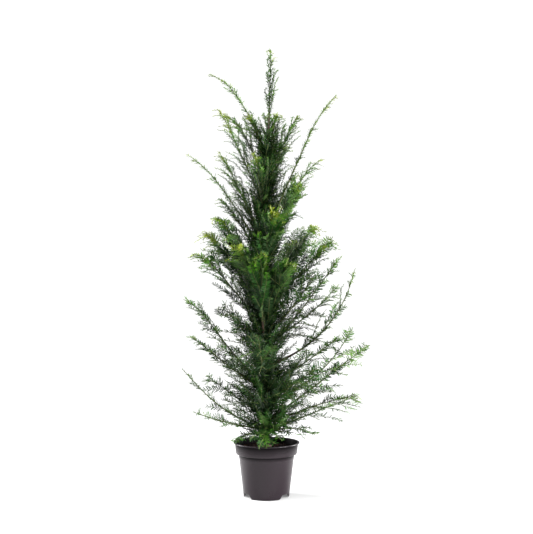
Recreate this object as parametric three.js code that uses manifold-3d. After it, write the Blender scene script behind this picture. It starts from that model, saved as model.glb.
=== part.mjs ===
// A potted yew: a young, narrow, upright yew in a five-litre nursery pot.
// Millimetres, +Z up. The origin is the centre of the pot's flat underside, and -Y is the front.
import * as THREE from "three";
import { mergeVertices } from "three/addons/utils/BufferGeometryUtils.js";
import Module from "manifold-3d";

const wasm = await Module();
wasm.setup();

// The clearance between neighbouring pieces, and the wider one that needles keep from other shoots.
const JOIN_GAP = 0.3;
const NEEDLE_GAP = 1.2;

// The pot: a tapering wall under an upright band, with an out-turned lip. It stands on a flat pad and on
// the wall's foot, the floor between them is raised, and drain notches open the foot to that hollow.
const POT = {
  height: 180,
  lipRadius: 110,
  lipHeight: 3,
  lipWidth: 7,
  lipDrop: 1,
  bandTopRadius: 105.2,
  bandFootRadius: 102.2,
  bandHeight: 38,
  bandRound: 3,
  ledgeDrop: 1,
  wallTopRadius: 93,
  footRadius: 75.5,
  footChamfer: 2,
  footWidth: 3.2,
  padRadius: 30,
  padSlope: 4,
  hollow: 14,
  wall: 2.2,
  floor: 3,
  segments: 32,
};
const NOTCH = { count: 3, width: 60, height: 13.5, corner: 6, depth: 15, firstAzimuth: 57 };

// The potting soil: a filled pot, a little below the lip, slightly mounded round the trunk.
const SOIL = { top: 164, edgeDrop: 5, seatRadius: 24, wallGap: 0.5, segments: 20 };

// The trunk: one stem that sways a little, from a flat cut on the soil to a thin tip.
const TRUNK = {
  foot: SOIL.top + JOIN_GAP,
  top: 1255,
  baseRadius: 11.5,
  tipRadius: 3,
  flare: 5.5,
  flareHeight: 50,
  lean: 9,
  swayX: 15,
  swayY: 7,
  sides: 10,
  steps: 14,
  taperPower: 0.85,
};

// A bough tapers from where it leaves the trunk, and its mass's stem goes on from its tip.
// Shares are shares of the whole shoot, from the trunk's axis to its tip.
const BOUGH = { sides: 5, steps: 4, shareOfTrunk: 0.62, tipRadius: 3.1 };
const STEM = {
  sides: 3,
  radius: 2.6,
  sunk: 0.06,
  leafyFrom: 0.06,
  leafyPastBough: 0.03,
  slenderLeafyFrom: 0.35,
  slenderSteps: 3,
};

// A bushy stem is a slim core with needles standing out of it all round. Needles are shorter at its foot,
// grow over the first stretch and taper off to the tip. Side sprays stay bare inside the brush's depth.
const BRUSH = {
  step: 34,
  coreShare: 0.42,
  narrowShare: 0.4,
  angle: 55,
  footSize: 0.7,
  growth: 2,
  taper: 0.65,
  endsAt: 0.74,
  depth: 0.7,
};

// A flat spray is a toothed blade: a slim three-sided rib with a needle on each side of every step.
const SPRAY = {
  ribHalfWidth: 1.9,
  ribHeight: 2.4,
  ribTaper: 0.65,
  step: 22,
  bare: 14,
  sunk: 0.12,
  bareSunk: 0.6,
  lift: 0.16,
  twist: 0.9,
  shortest: 70,
};
const NEEDLE = { angle: 50, lift: 16, taper: 0.4, shorterSide: 0.85, tries: [1, 0.75, 0.5] };

// Side sprays stand on a stretch of the stem. The first is on its upper side, each next one is turned on
// round it, and each takes the roomiest of a few further turns.
// A spray near the stem's foot is longer than one near its tip, and each length varies a little.
const TWIGS = {
  from: 0.15,
  fromBough: 0.05,
  to: 0.75,
  firstRoll: 80,
  goldenAngle: 137.5,
  turns: 5,
  checks: 12,
  footShare: 0.2,
  roomier: 0.1,
  lengthAtFoot: 1.15,
  lengthLoss: 0.5,
  leastLength: 0.85,
  lengthRange: 0.3,
};

// The first of the chance draws that each use takes.
const DRAW = { endTurn: 0, twigPlace: 10, twigLength: 20, brushTurn: 40 };

// Needles keep this far above the soil and the lip, and the soil's space ends this far inside the band.
const ROOM = { above: 5, insideBand: 10 };

// Habits of growth: how many side sprays a shoot has, how long they are, at what angle they leave it,
// and how long the needles are round its stem and on its sprays, with the sides of the stem's core.
const HABITS = {
  leader: { twigs: 4, spread: 80, angle: 17, stemNeedle: 20, sprayNeedle: 19, stemSides: 4 },
  whip: { twigs: 3, spread: 85, angle: 30, stemNeedle: 0, sprayNeedle: 22, stemSides: 4 },
  crest: { twigs: 3, spread: 125, angle: 28, stemNeedle: 34, sprayNeedle: 30, stemSides: 4 },
  dome: { twigs: 3, spread: 150, angle: 36, stemNeedle: 46, sprayNeedle: 40, stemSides: 4 },
  heart: { twigs: 2, spread: 110, angle: 32, stemNeedle: 54, sprayNeedle: 38, stemSides: 6 },
  arm: { twigs: 2, spread: 90, angle: 28, stemNeedle: 30, sprayNeedle: 28, stemSides: 4 },
  skirt: { twigs: 3, spread: 140, angle: 46, stemNeedle: 36, sprayNeedle: 42, stemSides: 4 },
  foot: { twigs: 3, spread: 90, angle: 48, stemNeedle: 28, sprayNeedle: 34, stemSides: 4 },
};

// Every shoot of the plant: azimuth 0 is +X, 90 is the back, 180 is -X and 270 the front.
// root and top are heights above the ground, and reach is the tip's distance from the pot's axis.
// sweep is how far a shoot's bend stands off the straight line to its tip, as a share of its length:
// over 0 it grows out and then up, under 0 it arches over. limb is the share of it that is a bare bough.
// nod is how far its soft end hangs over, out and down, from the line that it grew on.
const NOD = { from: 0.7, out: 0.75, down: 0.65 };
const SHOOT_COLUMNS = ["name", "habit", "azimuth", "root", "reach", "top", "sweep", "limb", "nod"];
const SHOOT_TABLE = [
  ["leader", "leader", 0, 1248, 14, 1481, 0, 0, 0],
  ["top_left", "crest", 205, 1120, 58, 1256, 0.02, 0, 0],
  ["top_right", "crest", 330, 1115, 40, 1262, 0.02, 0, 6],
  ["top_back", "crest", 85, 1095, 60, 1278, 0.02, 0, 5],
  ["upper_left", "whip", 176, 1150, 193, 1405, -0.06, 0, 28],
  ["left_crest", "crest", 190, 955, 158, 1278, 0, 0, 6],
  ["left_crest_inner", "crest", 172, 1030, 142, 1269, -0.06, 0, 24],
  ["left_shoulder", "crest", 168, 850, 160, 1141, 0, 0, 6],
  ["left_whip", "whip", 183, 800, 250, 1125, -0.06, 0, 15],
  ["left_upper", "crest", 172, 770, 160, 990, -0.03, 0, 12],
  ["left_dome_high", "dome", 192, 705, 165, 926, 0.02, 0, 10],
  ["left_dome_mid", "dome", 164, 640, 214, 876, 0.02, 0, 12],
  ["left_dome_low", "dome", 195, 556, 244, 803, -0.02, 0, 25],
  ["left_arm", "arm", 178, 362, 277, 653, 0.08, 0.2, 36],
  ["left_skirt_high", "arm", 190, 350, 246, 529, 0.06, 0, 6],
  ["left_skirt_mid", "skirt", 165, 264, 206, 392, 0.02, 0, 0],
  ["left_low_whip", "whip", 184, 222, 280, 425, 0.18, 0, 8],
  ["left_low_twig", "whip", 199, 222, 250, 290, 0.06, 0, 0],
  ["right_crest", "crest", 10, 1052, 103, 1261, 0, 0, 4],
  ["right_whip", "whip", 354, 860, 232, 1329, 0, 0.2, 28],
  ["right_shoulder", "arm", 14, 800, 180, 1117, 0, 0, 26],
  ["right_dome_high", "dome", 20, 672, 177, 897, 0.02, 0, 10],
  ["right_dome_mid", "dome", 347, 612, 224, 848, 0.02, 0, 10],
  ["right_dome_low", "arm", 4, 478, 252, 798, 0.06, 0, 10],
  ["right_fork", "whip", 16, 505, 256, 702, 0.1, 0, 0],
  ["right_sweep", "whip", 356, 430, 293, 755, 0.28, 0.25, 0],
  ["right_arm", "skirt", 340, 312, 294, 562, 0.2, 0, 0],
  ["heart_right", "heart", 338, 520, 172, 738, 0.06, 0, 0],
  ["right_low_long", "skirt", 3, 248, 343, 499, 0.02, 0.2, 6],
  ["right_low_mid", "skirt", 348, 228, 298, 340, -0.09, 0, 0],
  ["right_low_end", "whip", 16, 214, 324, 320, 0, 0, 6],
  ["right_droop", "foot", 330, 208, 182, 219, -0.2, 0, 0],
  ["front_crest", "crest", 252, 930, 112, 1120, 0.02, 0, 0],
  ["front_upper", "dome", 316, 800, 146, 1025, 0.02, 0, 6],
  ["front_high", "dome", 280, 740, 140, 942, 0.02, 0, 6],
  ["front_dome_left", "dome", 240, 640, 178, 828, 0.03, 0, 8],
  ["front_dome_right", "dome", 292, 545, 185, 778, 0.03, 0, 8],
  ["front_middle", "dome", 264, 500, 165, 800, 0.1, 0.3, 8],
  ["left_inner", "skirt", 198, 470, 152, 640, 0.02, 0, 0],
  ["front_low_middle", "skirt", 262, 385, 188, 545, 0.04, 0, 0],
  ["front_low_right", "skirt", 314, 320, 225, 440, 0.04, 0, 0],
  ["front_foot", "foot", 266, 222, 118, 214, -0.25, 0, 0],
  ["right_arm_inner", "arm", 336, 372, 258, 542, 0.08, 0, 0],
  ["foot_left", "whip", 205, 212, 114, 192, -0.15, 0, 0],
  ["back_crest", "crest", 45, 965, 94, 1172, -0.04, 0, 0],
  ["back_upper_left", "dome", 132, 830, 170, 1062, 0.02, 0, 8],
  ["back_upper_right", "dome", 54, 800, 172, 1080, 0.02, 0, 8],
  ["back_dome_left", "dome", 128, 600, 212, 870, 0.03, 0, 10],
  ["back_dome_right", "dome", 64, 580, 222, 852, 0.03, 0, 10],
  ["back_middle", "dome", 96, 465, 230, 690, 0.06, 0, 8],
  ["back_low_left", "skirt", 132, 335, 232, 490, 0.04, 0, 0],
  ["back_low_right", "skirt", 54, 315, 242, 470, 0.04, 0, 0],
];
const SHOOTS = SHOOT_TABLE.map((row, i) => {
  const shoot = Object.fromEntries(SHOOT_COLUMNS.map((column, k) => [column, row[k]]));
  return { ...shoot, ...HABITS[shoot.habit], seed: i + 1 };
});

const MATERIALS = {
  pot: new THREE.MeshStandardMaterial({ color: 0x464144, roughness: 0.45, metalness: 0 }),
  soil: new THREE.MeshStandardMaterial({ color: 0x1c1512, roughness: 0.95, metalness: 0 }),
  bark: new THREE.MeshStandardMaterial({ color: 0x5d4437, roughness: 0.85, metalness: 0 }),
  needles: new THREE.MeshStandardMaterial({ color: 0x3f5a2c, roughness: 0.5, metalness: 0 }),
};
const UP = new THREE.Vector3(0, 0, 1);

// Solids: a closed three.js geometry as a solid for joining and cutting, and back again.
function solidOf(geometry) {
  const bare = geometry.index ? geometry.toNonIndexed() : geometry.clone();
  bare.deleteAttribute("normal");
  bare.deleteAttribute("uv");
  const merged = mergeVertices(bare, 1e-4);
  const mesh = new wasm.Mesh({
    numProp: 3,
    vertProperties: merged.attributes.position.array,
    triVerts: new Uint32Array(merged.index.array),
  });
  return new wasm.Manifold(mesh);
}

function geometryOf(solid) {
  const mesh = solid.getMesh();
  const geometry = new THREE.BufferGeometry();
  geometry.setAttribute("position", new THREE.BufferAttribute(mesh.vertProperties, 3));
  geometry.setIndex(new THREE.BufferAttribute(mesh.triVerts, 1));
  geometry.computeVertexNormals();
  return geometry;
}

// The largest piece of a solid: a loose scrap that a cut leaves is dropped.
function largestPiece(solid) {
  const pieces = solid.decompose();
  return pieces.reduce((best, piece) => (piece.volume() > best.volume() ? piece : best));
}

function namedMesh(name, geometry, material) {
  const mesh = new THREE.Mesh(geometry, material);
  mesh.name = name;
  return mesh;
}

// A repeatable chance value from 0 to 1, for draw number n of one shoot.
function chance(seed, n) {
  let h = Math.imul(seed, 0x9e3779b1) + Math.imul(n + 1, 0x85ebca77);
  h = Math.imul(h ^ (h >>> 15), 0x2c1b3c6d);
  h = Math.imul(h ^ (h >>> 12), 0x297a2d39);
  return ((h ^ (h >>> 15)) >>> 0) / 2 ** 32;
}

// Pot and soil: the wall's outer radius at a height, and the pad's radius on the inside of the pot.
function wallRadius(height) {
  const wallTop = POT.height - POT.bandHeight - POT.ledgeDrop;
  const share = (height - POT.footChamfer) / (wallTop - POT.footChamfer);
  return THREE.MathUtils.lerp(POT.footRadius, POT.wallTopRadius, share);
}

function padInside() {
  const steepness = Math.atan2(POT.hollow, POT.padSlope);
  return POT.padRadius - POT.floor * Math.tan(steepness / 2);
}

function potGeometry() {
  const bandFoot = POT.height - POT.bandHeight;
  const lipFoot = POT.height - POT.lipHeight;
  const raised = POT.hollow + POT.floor;
  const innerPad = padInside();
  const profile = [
    [0, 0],
    [POT.padRadius, 0],
    [POT.padRadius + POT.padSlope, POT.hollow],
    [POT.footRadius - POT.footWidth, POT.hollow],
    [POT.footRadius - POT.footWidth, 0],
    [POT.footRadius - POT.footChamfer, 0],
    [POT.footRadius, POT.footChamfer],
    [POT.wallTopRadius, bandFoot - POT.ledgeDrop],
    [POT.bandFootRadius - POT.bandRound / 2, bandFoot],
    [POT.bandFootRadius, bandFoot + POT.bandRound],
    [POT.bandTopRadius, lipFoot - POT.lipDrop],
    [POT.lipRadius, lipFoot],
    [POT.lipRadius, POT.height],
    [POT.lipRadius - POT.lipWidth, POT.height],
    [POT.bandFootRadius - POT.wall, bandFoot + POT.bandRound],
    [POT.wallTopRadius - POT.wall, bandFoot - POT.ledgeDrop],
    [wallRadius(raised) - POT.wall, raised],
    [innerPad + POT.padSlope, raised],
    [innerPad, POT.floor],
    [0, POT.floor],
  ];
  const shell = new THREE.LatheGeometry(
    profile.map(([radius, height]) => new THREE.Vector2(radius, height)),
    POT.segments,
  );
  let pot = solidOf(shell);
  for (let i = 0; i < NOTCH.count; i += 1) {
    pot = pot.subtract(solidOf(notchGeometry(NOTCH.firstAzimuth + (i * 360) / NOTCH.count)));
  }
  return geometryOf(pot);
}

// One drain notch: an arch with round upper corners, cut through the foot of the wall.
// The lathe's axis is Y, so the arch stands along Y and is turned about it.
function notchGeometry(azimuth) {
  const half = NOTCH.width / 2;
  const arch = new THREE.Shape();
  arch.moveTo(-half, -1);
  arch.lineTo(half, -1);
  arch.lineTo(half, NOTCH.height - NOTCH.corner);
  arch.absarc(half - NOTCH.corner, NOTCH.height - NOTCH.corner, NOTCH.corner, 0, Math.PI / 2);
  arch.absarc(NOTCH.corner - half, NOTCH.height - NOTCH.corner, NOTCH.corner, Math.PI / 2, Math.PI);
  const cutter = new THREE.ExtrudeGeometry(arch, {
    depth: 2 * NOTCH.depth,
    bevelEnabled: false,
    curveSegments: 3,
  });
  cutter.translate(0, 0, POT.footRadius - NOTCH.depth);
  return cutter.rotateY(THREE.MathUtils.degToRad(azimuth));
}

function soilGeometry() {
  const bandFoot = POT.height - POT.bandHeight;
  const inset = POT.wall + SOIL.wallGap;
  const edge = SOIL.top - SOIL.edgeDrop;
  const raised = POT.hollow + POT.floor + JOIN_GAP;
  const innerPad = padInside() - SOIL.wallGap;
  const profile = [
    [0, POT.floor + JOIN_GAP],
    [innerPad, POT.floor + JOIN_GAP],
    [innerPad + POT.padSlope, raised],
    [wallRadius(raised) - inset, raised],
    [POT.wallTopRadius - inset, bandFoot - POT.ledgeDrop],
    [POT.bandFootRadius - inset, bandFoot + POT.bandRound],
    [POT.bandFootRadius - inset, edge],
    [(POT.bandFootRadius + SOIL.seatRadius) / 2, SOIL.top - SOIL.edgeDrop / 3],
    [SOIL.seatRadius, SOIL.top],
    [0, SOIL.top],
  ];
  return new THREE.LatheGeometry(
    profile.map(([radius, height]) => new THREE.Vector2(radius, height)),
    SOIL.segments,
  );
}

// Limbs: a capped cylinder whose rings are laid square to a curve.
function limbGeometry(curve, radiusAt, sides, steps) {
  const geometry = new THREE.CylinderGeometry(1, 1, 1, sides, steps);
  const frames = curve.computeFrenetFrames(steps, false);
  const position = geometry.attributes.position;
  for (let i = 0; i < position.count; i += 1) {
    const step = Math.round((position.getY(i) + 0.5) * steps);
    const t = step / steps;
    const point = curve
      .getPointAt(t)
      .addScaledVector(frames.binormals[step], position.getX(i) * radiusAt(t))
      .addScaledVector(frames.normals[step], position.getZ(i) * radiusAt(t));
    position.setXYZ(i, point.x, point.y, point.z);
  }
  return geometry;
}

// The stretch of a curve between two of its parameters.
class Stretch extends THREE.Curve {
  constructor(whole, from, to) {
    super();
    this.whole = whole;
    this.from = from;
    this.to = to;
  }

  getPoint(t, target = new THREE.Vector3()) {
    return this.whole.getPoint(THREE.MathUtils.lerp(this.from, this.to, t), target);
  }
}

// The trunk's line: it leaves the soil upright, then leans and sways a little.
class TrunkLine extends THREE.Curve {
  getPoint(t, target = new THREE.Vector3()) {
    const sway = Math.sin(Math.PI * t) ** 2;
    return target.set(
      TRUNK.lean * t * t - TRUNK.swayX * sway,
      TRUNK.swayY * sway * Math.cos(Math.PI * t),
      THREE.MathUtils.lerp(TRUNK.foot, TRUNK.top, t),
    );
  }
}
const trunkLine = new TrunkLine();

function trunkShare(height) {
  return THREE.MathUtils.clamp((height - TRUNK.foot) / (TRUNK.top - TRUNK.foot), 0, 1);
}

function trunkRadius(t) {
  const height = t * (TRUNK.top - TRUNK.foot);
  const flare = Math.max(0, 1 - height / TRUNK.flareHeight) ** 2 * TRUNK.flare;
  return THREE.MathUtils.lerp(TRUNK.baseRadius, TRUNK.tipRadius, t ** TRUNK.taperPower) + flare;
}

// The trunk, or with a margin the space that other pieces keep clear of.
function trunkGeometry(margin = 0) {
  const end = margin / (TRUNK.top - TRUNK.foot);
  const line = new Stretch(trunkLine, 0, 1 + end);
  return limbGeometry(line, (t) => trunkRadius(t) + margin, TRUNK.sides, TRUNK.steps);
}

// A shoot's line runs from the trunk's axis to its tip on one bend, which lies in an upright plane,
// and its end nods over by the square of the way past the point where it grows soft.
class ShootLine extends THREE.QuadraticBezierCurve3 {
  constructor(foot, bend, end, hang) {
    super(foot, bend, end);
    this.hang = hang;
  }

  getPoint(t, target = new THREE.Vector3()) {
    const late = Math.max(0, (t - NOD.from) / (1 - NOD.from));
    return super.getPoint(t, target).addScaledVector(this.hang, late * late);
  }
}

function shootLine(shoot) {
  const azimuth = THREE.MathUtils.degToRad(shoot.azimuth);
  const outward = new THREE.Vector3(Math.cos(azimuth), Math.sin(azimuth), 0);
  const foot = trunkLine.getPoint(trunkShare(shoot.root));
  const tip = outward.clone().multiplyScalar(shoot.reach).setZ(shoot.top);
  const hang = outward.clone().multiplyScalar(NOD.out).setZ(-NOD.down).multiplyScalar(shoot.nod);
  const end = tip.sub(hang);
  const chord = end.clone().sub(foot);
  const bend = foot
    .clone()
    .addScaledVector(chord, 0.5)
    .addScaledVector(outward, shoot.sweep * chord.z)
    .addScaledVector(UP, -shoot.sweep * Math.hypot(chord.x, chord.y));
  return new ShootLine(foot, bend, end, hang);
}

const GUIDE_STEPS = 16;
for (const shoot of SHOOTS) {
  shoot.line = shootLine(shoot);
  shoot.guide = shoot.line.getPoints(GUIDE_STEPS);
  shoot.limbRadius = shoot.limb > 0 ? trunkRadius(trunkShare(shoot.root)) * BOUGH.shareOfTrunk : 0;
}

// Space: how far a point lies from a line of points.
function distanceTo(guide, point) {
  const segment = new THREE.Line3();
  const nearest = new THREE.Vector3();
  let best = Infinity;
  for (let i = 1; i < guide.length; i += 1) {
    segment.set(guide[i - 1], guide[i]).closestPointToPoint(point, true, nearest);
    best = Math.min(best, nearest.distanceTo(point));
  }
  return best;
}

// A point is in a shoot's own space when it is nearer to that shoot than to any other,
// clear of the trunk and above the pot and the soil.
function inOwnSpace(shoot, point, gap = NEEDLE_GAP) {
  const axis = trunkLine.getPoint(trunkShare(point.z));
  const fromTrunk = Math.hypot(point.x - axis.x, point.y - axis.y);
  if (point.z < TRUNK.top && fromTrunk < trunkRadius(trunkShare(point.z)) + gap) return false;
  const overSoil = Math.hypot(point.x, point.y) < POT.bandFootRadius - POT.wall - ROOM.insideBand;
  if (point.z < (overSoil ? SOIL.top : POT.height) + ROOM.above) return false;
  const own = distanceTo(shoot.guide, point) + gap;
  return SHOOTS.every(
    (other) => other === shoot || distanceTo(other.guide, point) > Math.max(own, other.limbRadius + gap),
  );
}

// One spray: a rib along a curve, bare at first, with needles to both sides, as a single closed blade.
// A needle that would leave the shoot's space is tried shorter and then left out.
function bladeGeometry(shoot, line, facing, bare) {
  const length = line.getLength();
  const steps = Math.max(2, Math.round((length - bare) / SPRAY.step));
  const ribAt = (t) => 1 - SPRAY.ribTaper * t;
  const frameAt = (t) => {
    const forward = line.getTangentAt(t);
    const side = new THREE.Vector3().crossVectors(facing, forward).normalize();
    const over = new THREE.Vector3().crossVectors(forward, side);
    return { point: line.getPointAt(t), forward, side, over };
  };
  const ribShare = (i) => (i === 0 ? 0 : (bare + ((length - bare) * (i - 1)) / steps) / length);

  const vertices = [];
  const faces = [];
  const add = (point) => vertices.push(point) - 1;
  const edge = (i, sign) => {
    const { point, side } = frameAt(ribShare(i));
    return add(point.addScaledVector(side, sign * SPRAY.ribHalfWidth * ribAt(ribShare(i))));
  };
  const needleTip = (i, sign) => {
    const share = (ribShare(i) + ribShare(i + 1)) / 2;
    const { point, forward, side, over } = frameAt(share);
    const angle = THREE.MathUtils.degToRad(NEEDLE.angle);
    const lift = THREE.MathUtils.degToRad(NEEDLE.lift);
    const way = new THREE.Vector3()
      .addScaledVector(forward, Math.cos(angle))
      .addScaledVector(side, sign * Math.sin(angle) * Math.cos(lift))
      .addScaledVector(over, Math.sin(angle) * Math.sin(lift));
    const longerSide = i % 2 === 0 ? 1 : -1;
    const uneven = sign === longerSide ? 1 : NEEDLE.shorterSide;
    const full = shoot.sprayNeedle * (1 - NEEDLE.taper * share * share) * uneven;
    return needleTipInSpace(shoot, point, way.multiplyScalar(full));
  };
  const ridge = (share) => {
    const { point, over } = frameAt(share);
    return add(point.addScaledVector(over, SPRAY.ribHeight * ribAt(share)));
  };

  let left = edge(0, 1);
  let right = edge(0, -1);
  let top = ridge(0);
  faces.push([top, left, right]);
  for (let i = 0; i < steps; i += 1) {
    const crest = ridge((ribShare(i) + ribShare(i + 1)) / 2);
    const nextLeft = edge(i + 1, 1);
    const nextRight = edge(i + 1, -1);
    const leftTip = i > 0 ? needleTip(i, 1) : null;
    const rightTip = i > 0 ? needleTip(i, -1) : null;
    faces.push([top, crest, left], [crest, top, right]);
    faces.push([left, nextLeft, nextRight], [left, nextRight, right]);
    if (leftTip) {
      const tip = add(leftTip);
      faces.push([crest, tip, left], [crest, nextLeft, tip], [left, tip, nextLeft]);
    } else {
      faces.push([crest, nextLeft, left]);
    }
    if (rightTip) {
      const tip = add(rightTip);
      faces.push([crest, right, tip], [crest, tip, nextRight], [right, nextRight, tip]);
    } else {
      faces.push([crest, right, nextRight]);
    }
    left = nextLeft;
    right = nextRight;
    top = crest;
  }
  const end = add(line.getPointAt(1));
  faces.push([top, end, left], [top, right, end], [left, end, right]);

  const geometry = new THREE.BufferGeometry().setFromPoints(vertices);
  return geometry.setIndex(faces.flat());
}

// The longest stretch of a curve, from its start, that stays in the shoot's own space.
function shareInSpace(shoot, line, from) {
  for (let i = 1; i <= TWIGS.checks; i += 1) {
    const share = i / TWIGS.checks;
    if (share > from && !inOwnSpace(shoot, line.getPoint(share))) return (i - 1) / TWIGS.checks;
  }
  return 1;
}

// The line of a side spray: it leaves the stem at an angle, turned round it, and lifts towards its tip.
function twigLine(shoot, share, roll, length) {
  const start = shoot.line.getPoint(share);
  const along = shoot.line.getTangent(share);
  const level = new THREE.Vector3().crossVectors(along, UP).normalize();
  const over = new THREE.Vector3().crossVectors(level, along);
  const angle = THREE.MathUtils.degToRad(shoot.angle);
  const way = new THREE.Vector3()
    .addScaledVector(along, Math.cos(angle))
    .addScaledVector(level, Math.sin(angle) * Math.cos(roll))
    .addScaledVector(over, Math.sin(angle) * Math.sin(roll));
  const middle = start.clone().addScaledVector(way, length / 2);
  const tip = start.clone().addScaledVector(way, length).addScaledVector(UP, SPRAY.lift * length);
  return new THREE.QuadraticBezierCurve3(start, middle, tip);
}

// The way a spray's upper side faces: upwards, or away from the trunk where it stands upright.
function facingOf(line, roll) {
  const along = line.getTangent(0.5);
  const outward = line.getPoint(0.5).setZ(0).normalize();
  const facing = UP.clone().lerp(outward, along.z * along.z);
  return facing.applyAxisAngle(along, SPRAY.twist * Math.sin(roll)).normalize();
}

// The tip of a needle that stays in the shoot's space, tried shorter and then left out.
function needleTipInSpace(shoot, root, needle) {
  for (const part of NEEDLE.tries) {
    const tip = root.clone().addScaledVector(needle, part);
    const middle = root.clone().addScaledVector(needle, part / 2);
    if (inOwnSpace(shoot, tip) && inOwnSpace(shoot, middle)) return tip;
  }
  return null;
}

// A bushy spray: rings round a curve, with every other corner drawn out and forwards to a needle's tip.
function brushGeometry(shoot, line, needle, sides) {
  const rings = Math.max(2, Math.round(line.getLength() / BRUSH.step));
  const angle = THREE.MathUtils.degToRad(BRUSH.angle);
  const vertices = [line.getPointAt(0)];
  for (let i = 0; i < rings; i += 1) {
    const t = (i + 0.5) / rings;
    const along = line.getTangentAt(t);
    const level = new THREE.Vector3().crossVectors(along, UP).normalize();
    const over = new THREE.Vector3().crossVectors(level, along);
    const centre = line.getPointAt(t);
    const size = needle * Math.min(1, BRUSH.footSize + BRUSH.growth * t) * (1 - BRUSH.taper * t * t);
    for (let j = 0; j < sides; j += 1) {
      const roll = (2 * Math.PI * (j + 0.5 * chance(shoot.seed, DRAW.brushTurn + i))) / sides;
      const out = level.clone().multiplyScalar(Math.cos(roll)).addScaledVector(over, Math.sin(roll));
      const way = out.clone().multiplyScalar(Math.sin(angle)).addScaledVector(along, Math.cos(angle));
      const tip = (i + j) % 2 ? null : needleTipInSpace(shoot, centre, way.multiplyScalar(size));
      vertices.push(tip ?? coreCorner(shoot, centre, out.multiplyScalar(size * BRUSH.coreShare)));
    }
  }
  const end = vertices.push(line.getPointAt(1)) - 1;

  const faces = [];
  const at = (i, j) => 1 + i * sides + (j % sides);
  for (let j = 0; j < sides; j += 1) {
    faces.push([0, at(0, j), at(0, j + 1)], [end, at(rings - 1, j + 1), at(rings - 1, j)]);
    for (let i = 0; i + 1 < rings; i += 1) {
      const [a, b, c, d] = [at(i, j), at(i + 1, j), at(i + 1, j + 1), at(i, j + 1)];
      if ((i + j) % 2) faces.push([a, b, c], [a, c, d]);
      else faces.push([a, b, d], [b, c, d]);
    }
  }
  return new THREE.BufferGeometry().setFromPoints(vertices).setIndex(faces.flat());
}

// A corner between needles on a brush's core, drawn in where the space is narrow.
function coreCorner(shoot, centre, out) {
  const full = centre.clone().add(out);
  return inOwnSpace(shoot, full) ? full : centre.clone().addScaledVector(out, BRUSH.narrowShare);
}

// A mass of foliage: a stem, bushy where it is dense, with a spray at its end and side sprays round it.
function massSolid(shoot) {
  const length = shoot.line.getLength();
  const start = shoot.limb > 0 ? shoot.limb + JOIN_GAP / length : 0;
  const slender = shoot.stemNeedle === 0;
  const leafyStart = slender ? STEM.slenderLeafyFrom : Math.max(start + STEM.leafyPastBough, STEM.leafyFrom);
  const stem = new Stretch(shoot.line, start, leafyStart + STEM.sunk);
  let mass = solidOf(limbGeometry(stem, () => STEM.radius, STEM.sides, slender ? STEM.slenderSteps : 1));
  if (!slender) {
    const leafy = new Stretch(shoot.line, leafyStart, BRUSH.endsAt);
    mass = mass.add(solidOf(brushGeometry(shoot, leafy, shoot.stemNeedle, shoot.stemSides)));
  }

  const end = new Stretch(shoot.line, slender ? leafyStart : BRUSH.endsAt - SPRAY.sunk, 1);
  const endFacing = facingOf(end, 2 * Math.PI * chance(shoot.seed, DRAW.endTurn));
  mass = mass.add(solidOf(bladeGeometry(shoot, end, endFacing, SPRAY.bareSunk * SPRAY.sunk * length)));

  const insideStem = (BRUSH.depth * shoot.stemNeedle) / Math.sin(THREE.MathUtils.degToRad(shoot.angle));
  const bare = Math.max(SPRAY.bare, insideStem);
  for (let k = 0; k < shoot.twigs; k += 1) {
    const twig = sideTwig(shoot, k, Math.max(start + TWIGS.fromBough, TWIGS.from));
    if (!twig) continue;
    mass = mass.add(solidOf(bladeGeometry(shoot, twig.line, facingOf(twig.line, twig.roll), bare)));
  }
  return mass;
}

// Side twig number k: its place on the stem, its length and its turn follow from k and the seed.
function sideTwig(shoot, k, from) {
  const place = (k + 0.5 * chance(shoot.seed, DRAW.twigPlace + k)) / shoot.twigs;
  const share = THREE.MathUtils.lerp(from, TWIGS.to, place);
  const luck = TWIGS.leastLength + TWIGS.lengthRange * chance(shoot.seed, DRAW.twigLength + k);
  const length = shoot.spread * (TWIGS.lengthAtFoot - TWIGS.lengthLoss * share) * luck;
  const roll = THREE.MathUtils.degToRad(TWIGS.firstRoll + k * TWIGS.goldenAngle);
  return roomiestTwig(shoot, share, roll, length);
}

// The side spray with the most room, of a few turns round the stem; none where all are too short.
function roomiestTwig(shoot, share, firstRoll, length) {
  let best = null;
  for (let i = 0; i < TWIGS.turns; i += 1) {
    const roll = firstRoll + (i * 2 * Math.PI) / TWIGS.turns;
    const line = twigLine(shoot, share, roll, length);
    const room = shareInSpace(shoot, line, TWIGS.footShare);
    if (!best || room > best.room + TWIGS.roomier) best = { line, roll, room };
  }
  if (best.room * length < SPRAY.shortest) return null;
  return { line: new Stretch(best.line, 0, best.room), roll: best.roll };
}

// The plant
const trunkSpace = solidOf(trunkGeometry(JOIN_GAP));

function boughMesh(shoot) {
  const line = new Stretch(shoot.line, 0, shoot.limb);
  const radius = (t) => THREE.MathUtils.lerp(shoot.limbRadius, BOUGH.tipRadius, t);
  const limb = solidOf(limbGeometry(line, radius, BOUGH.sides, BOUGH.steps));
  const cut = largestPiece(limb.subtract(trunkSpace));
  return namedMesh(`bough_${shoot.name}`, geometryOf(cut), MATERIALS.bark);
}

function massMesh(shoot) {
  const cut = largestPiece(massSolid(shoot).subtract(trunkSpace));
  return namedMesh(`foliage_${shoot.name}`, geometryOf(cut), MATERIALS.needles);
}

function plantGroup() {
  const plant = new THREE.Group();
  plant.name = "plant";
  plant.add(namedMesh("trunk", trunkGeometry(), MATERIALS.bark));
  for (const shoot of SHOOTS) {
    if (shoot.limb > 0) plant.add(boughMesh(shoot));
    plant.add(massMesh(shoot));
  }
  return plant;
}

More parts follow.
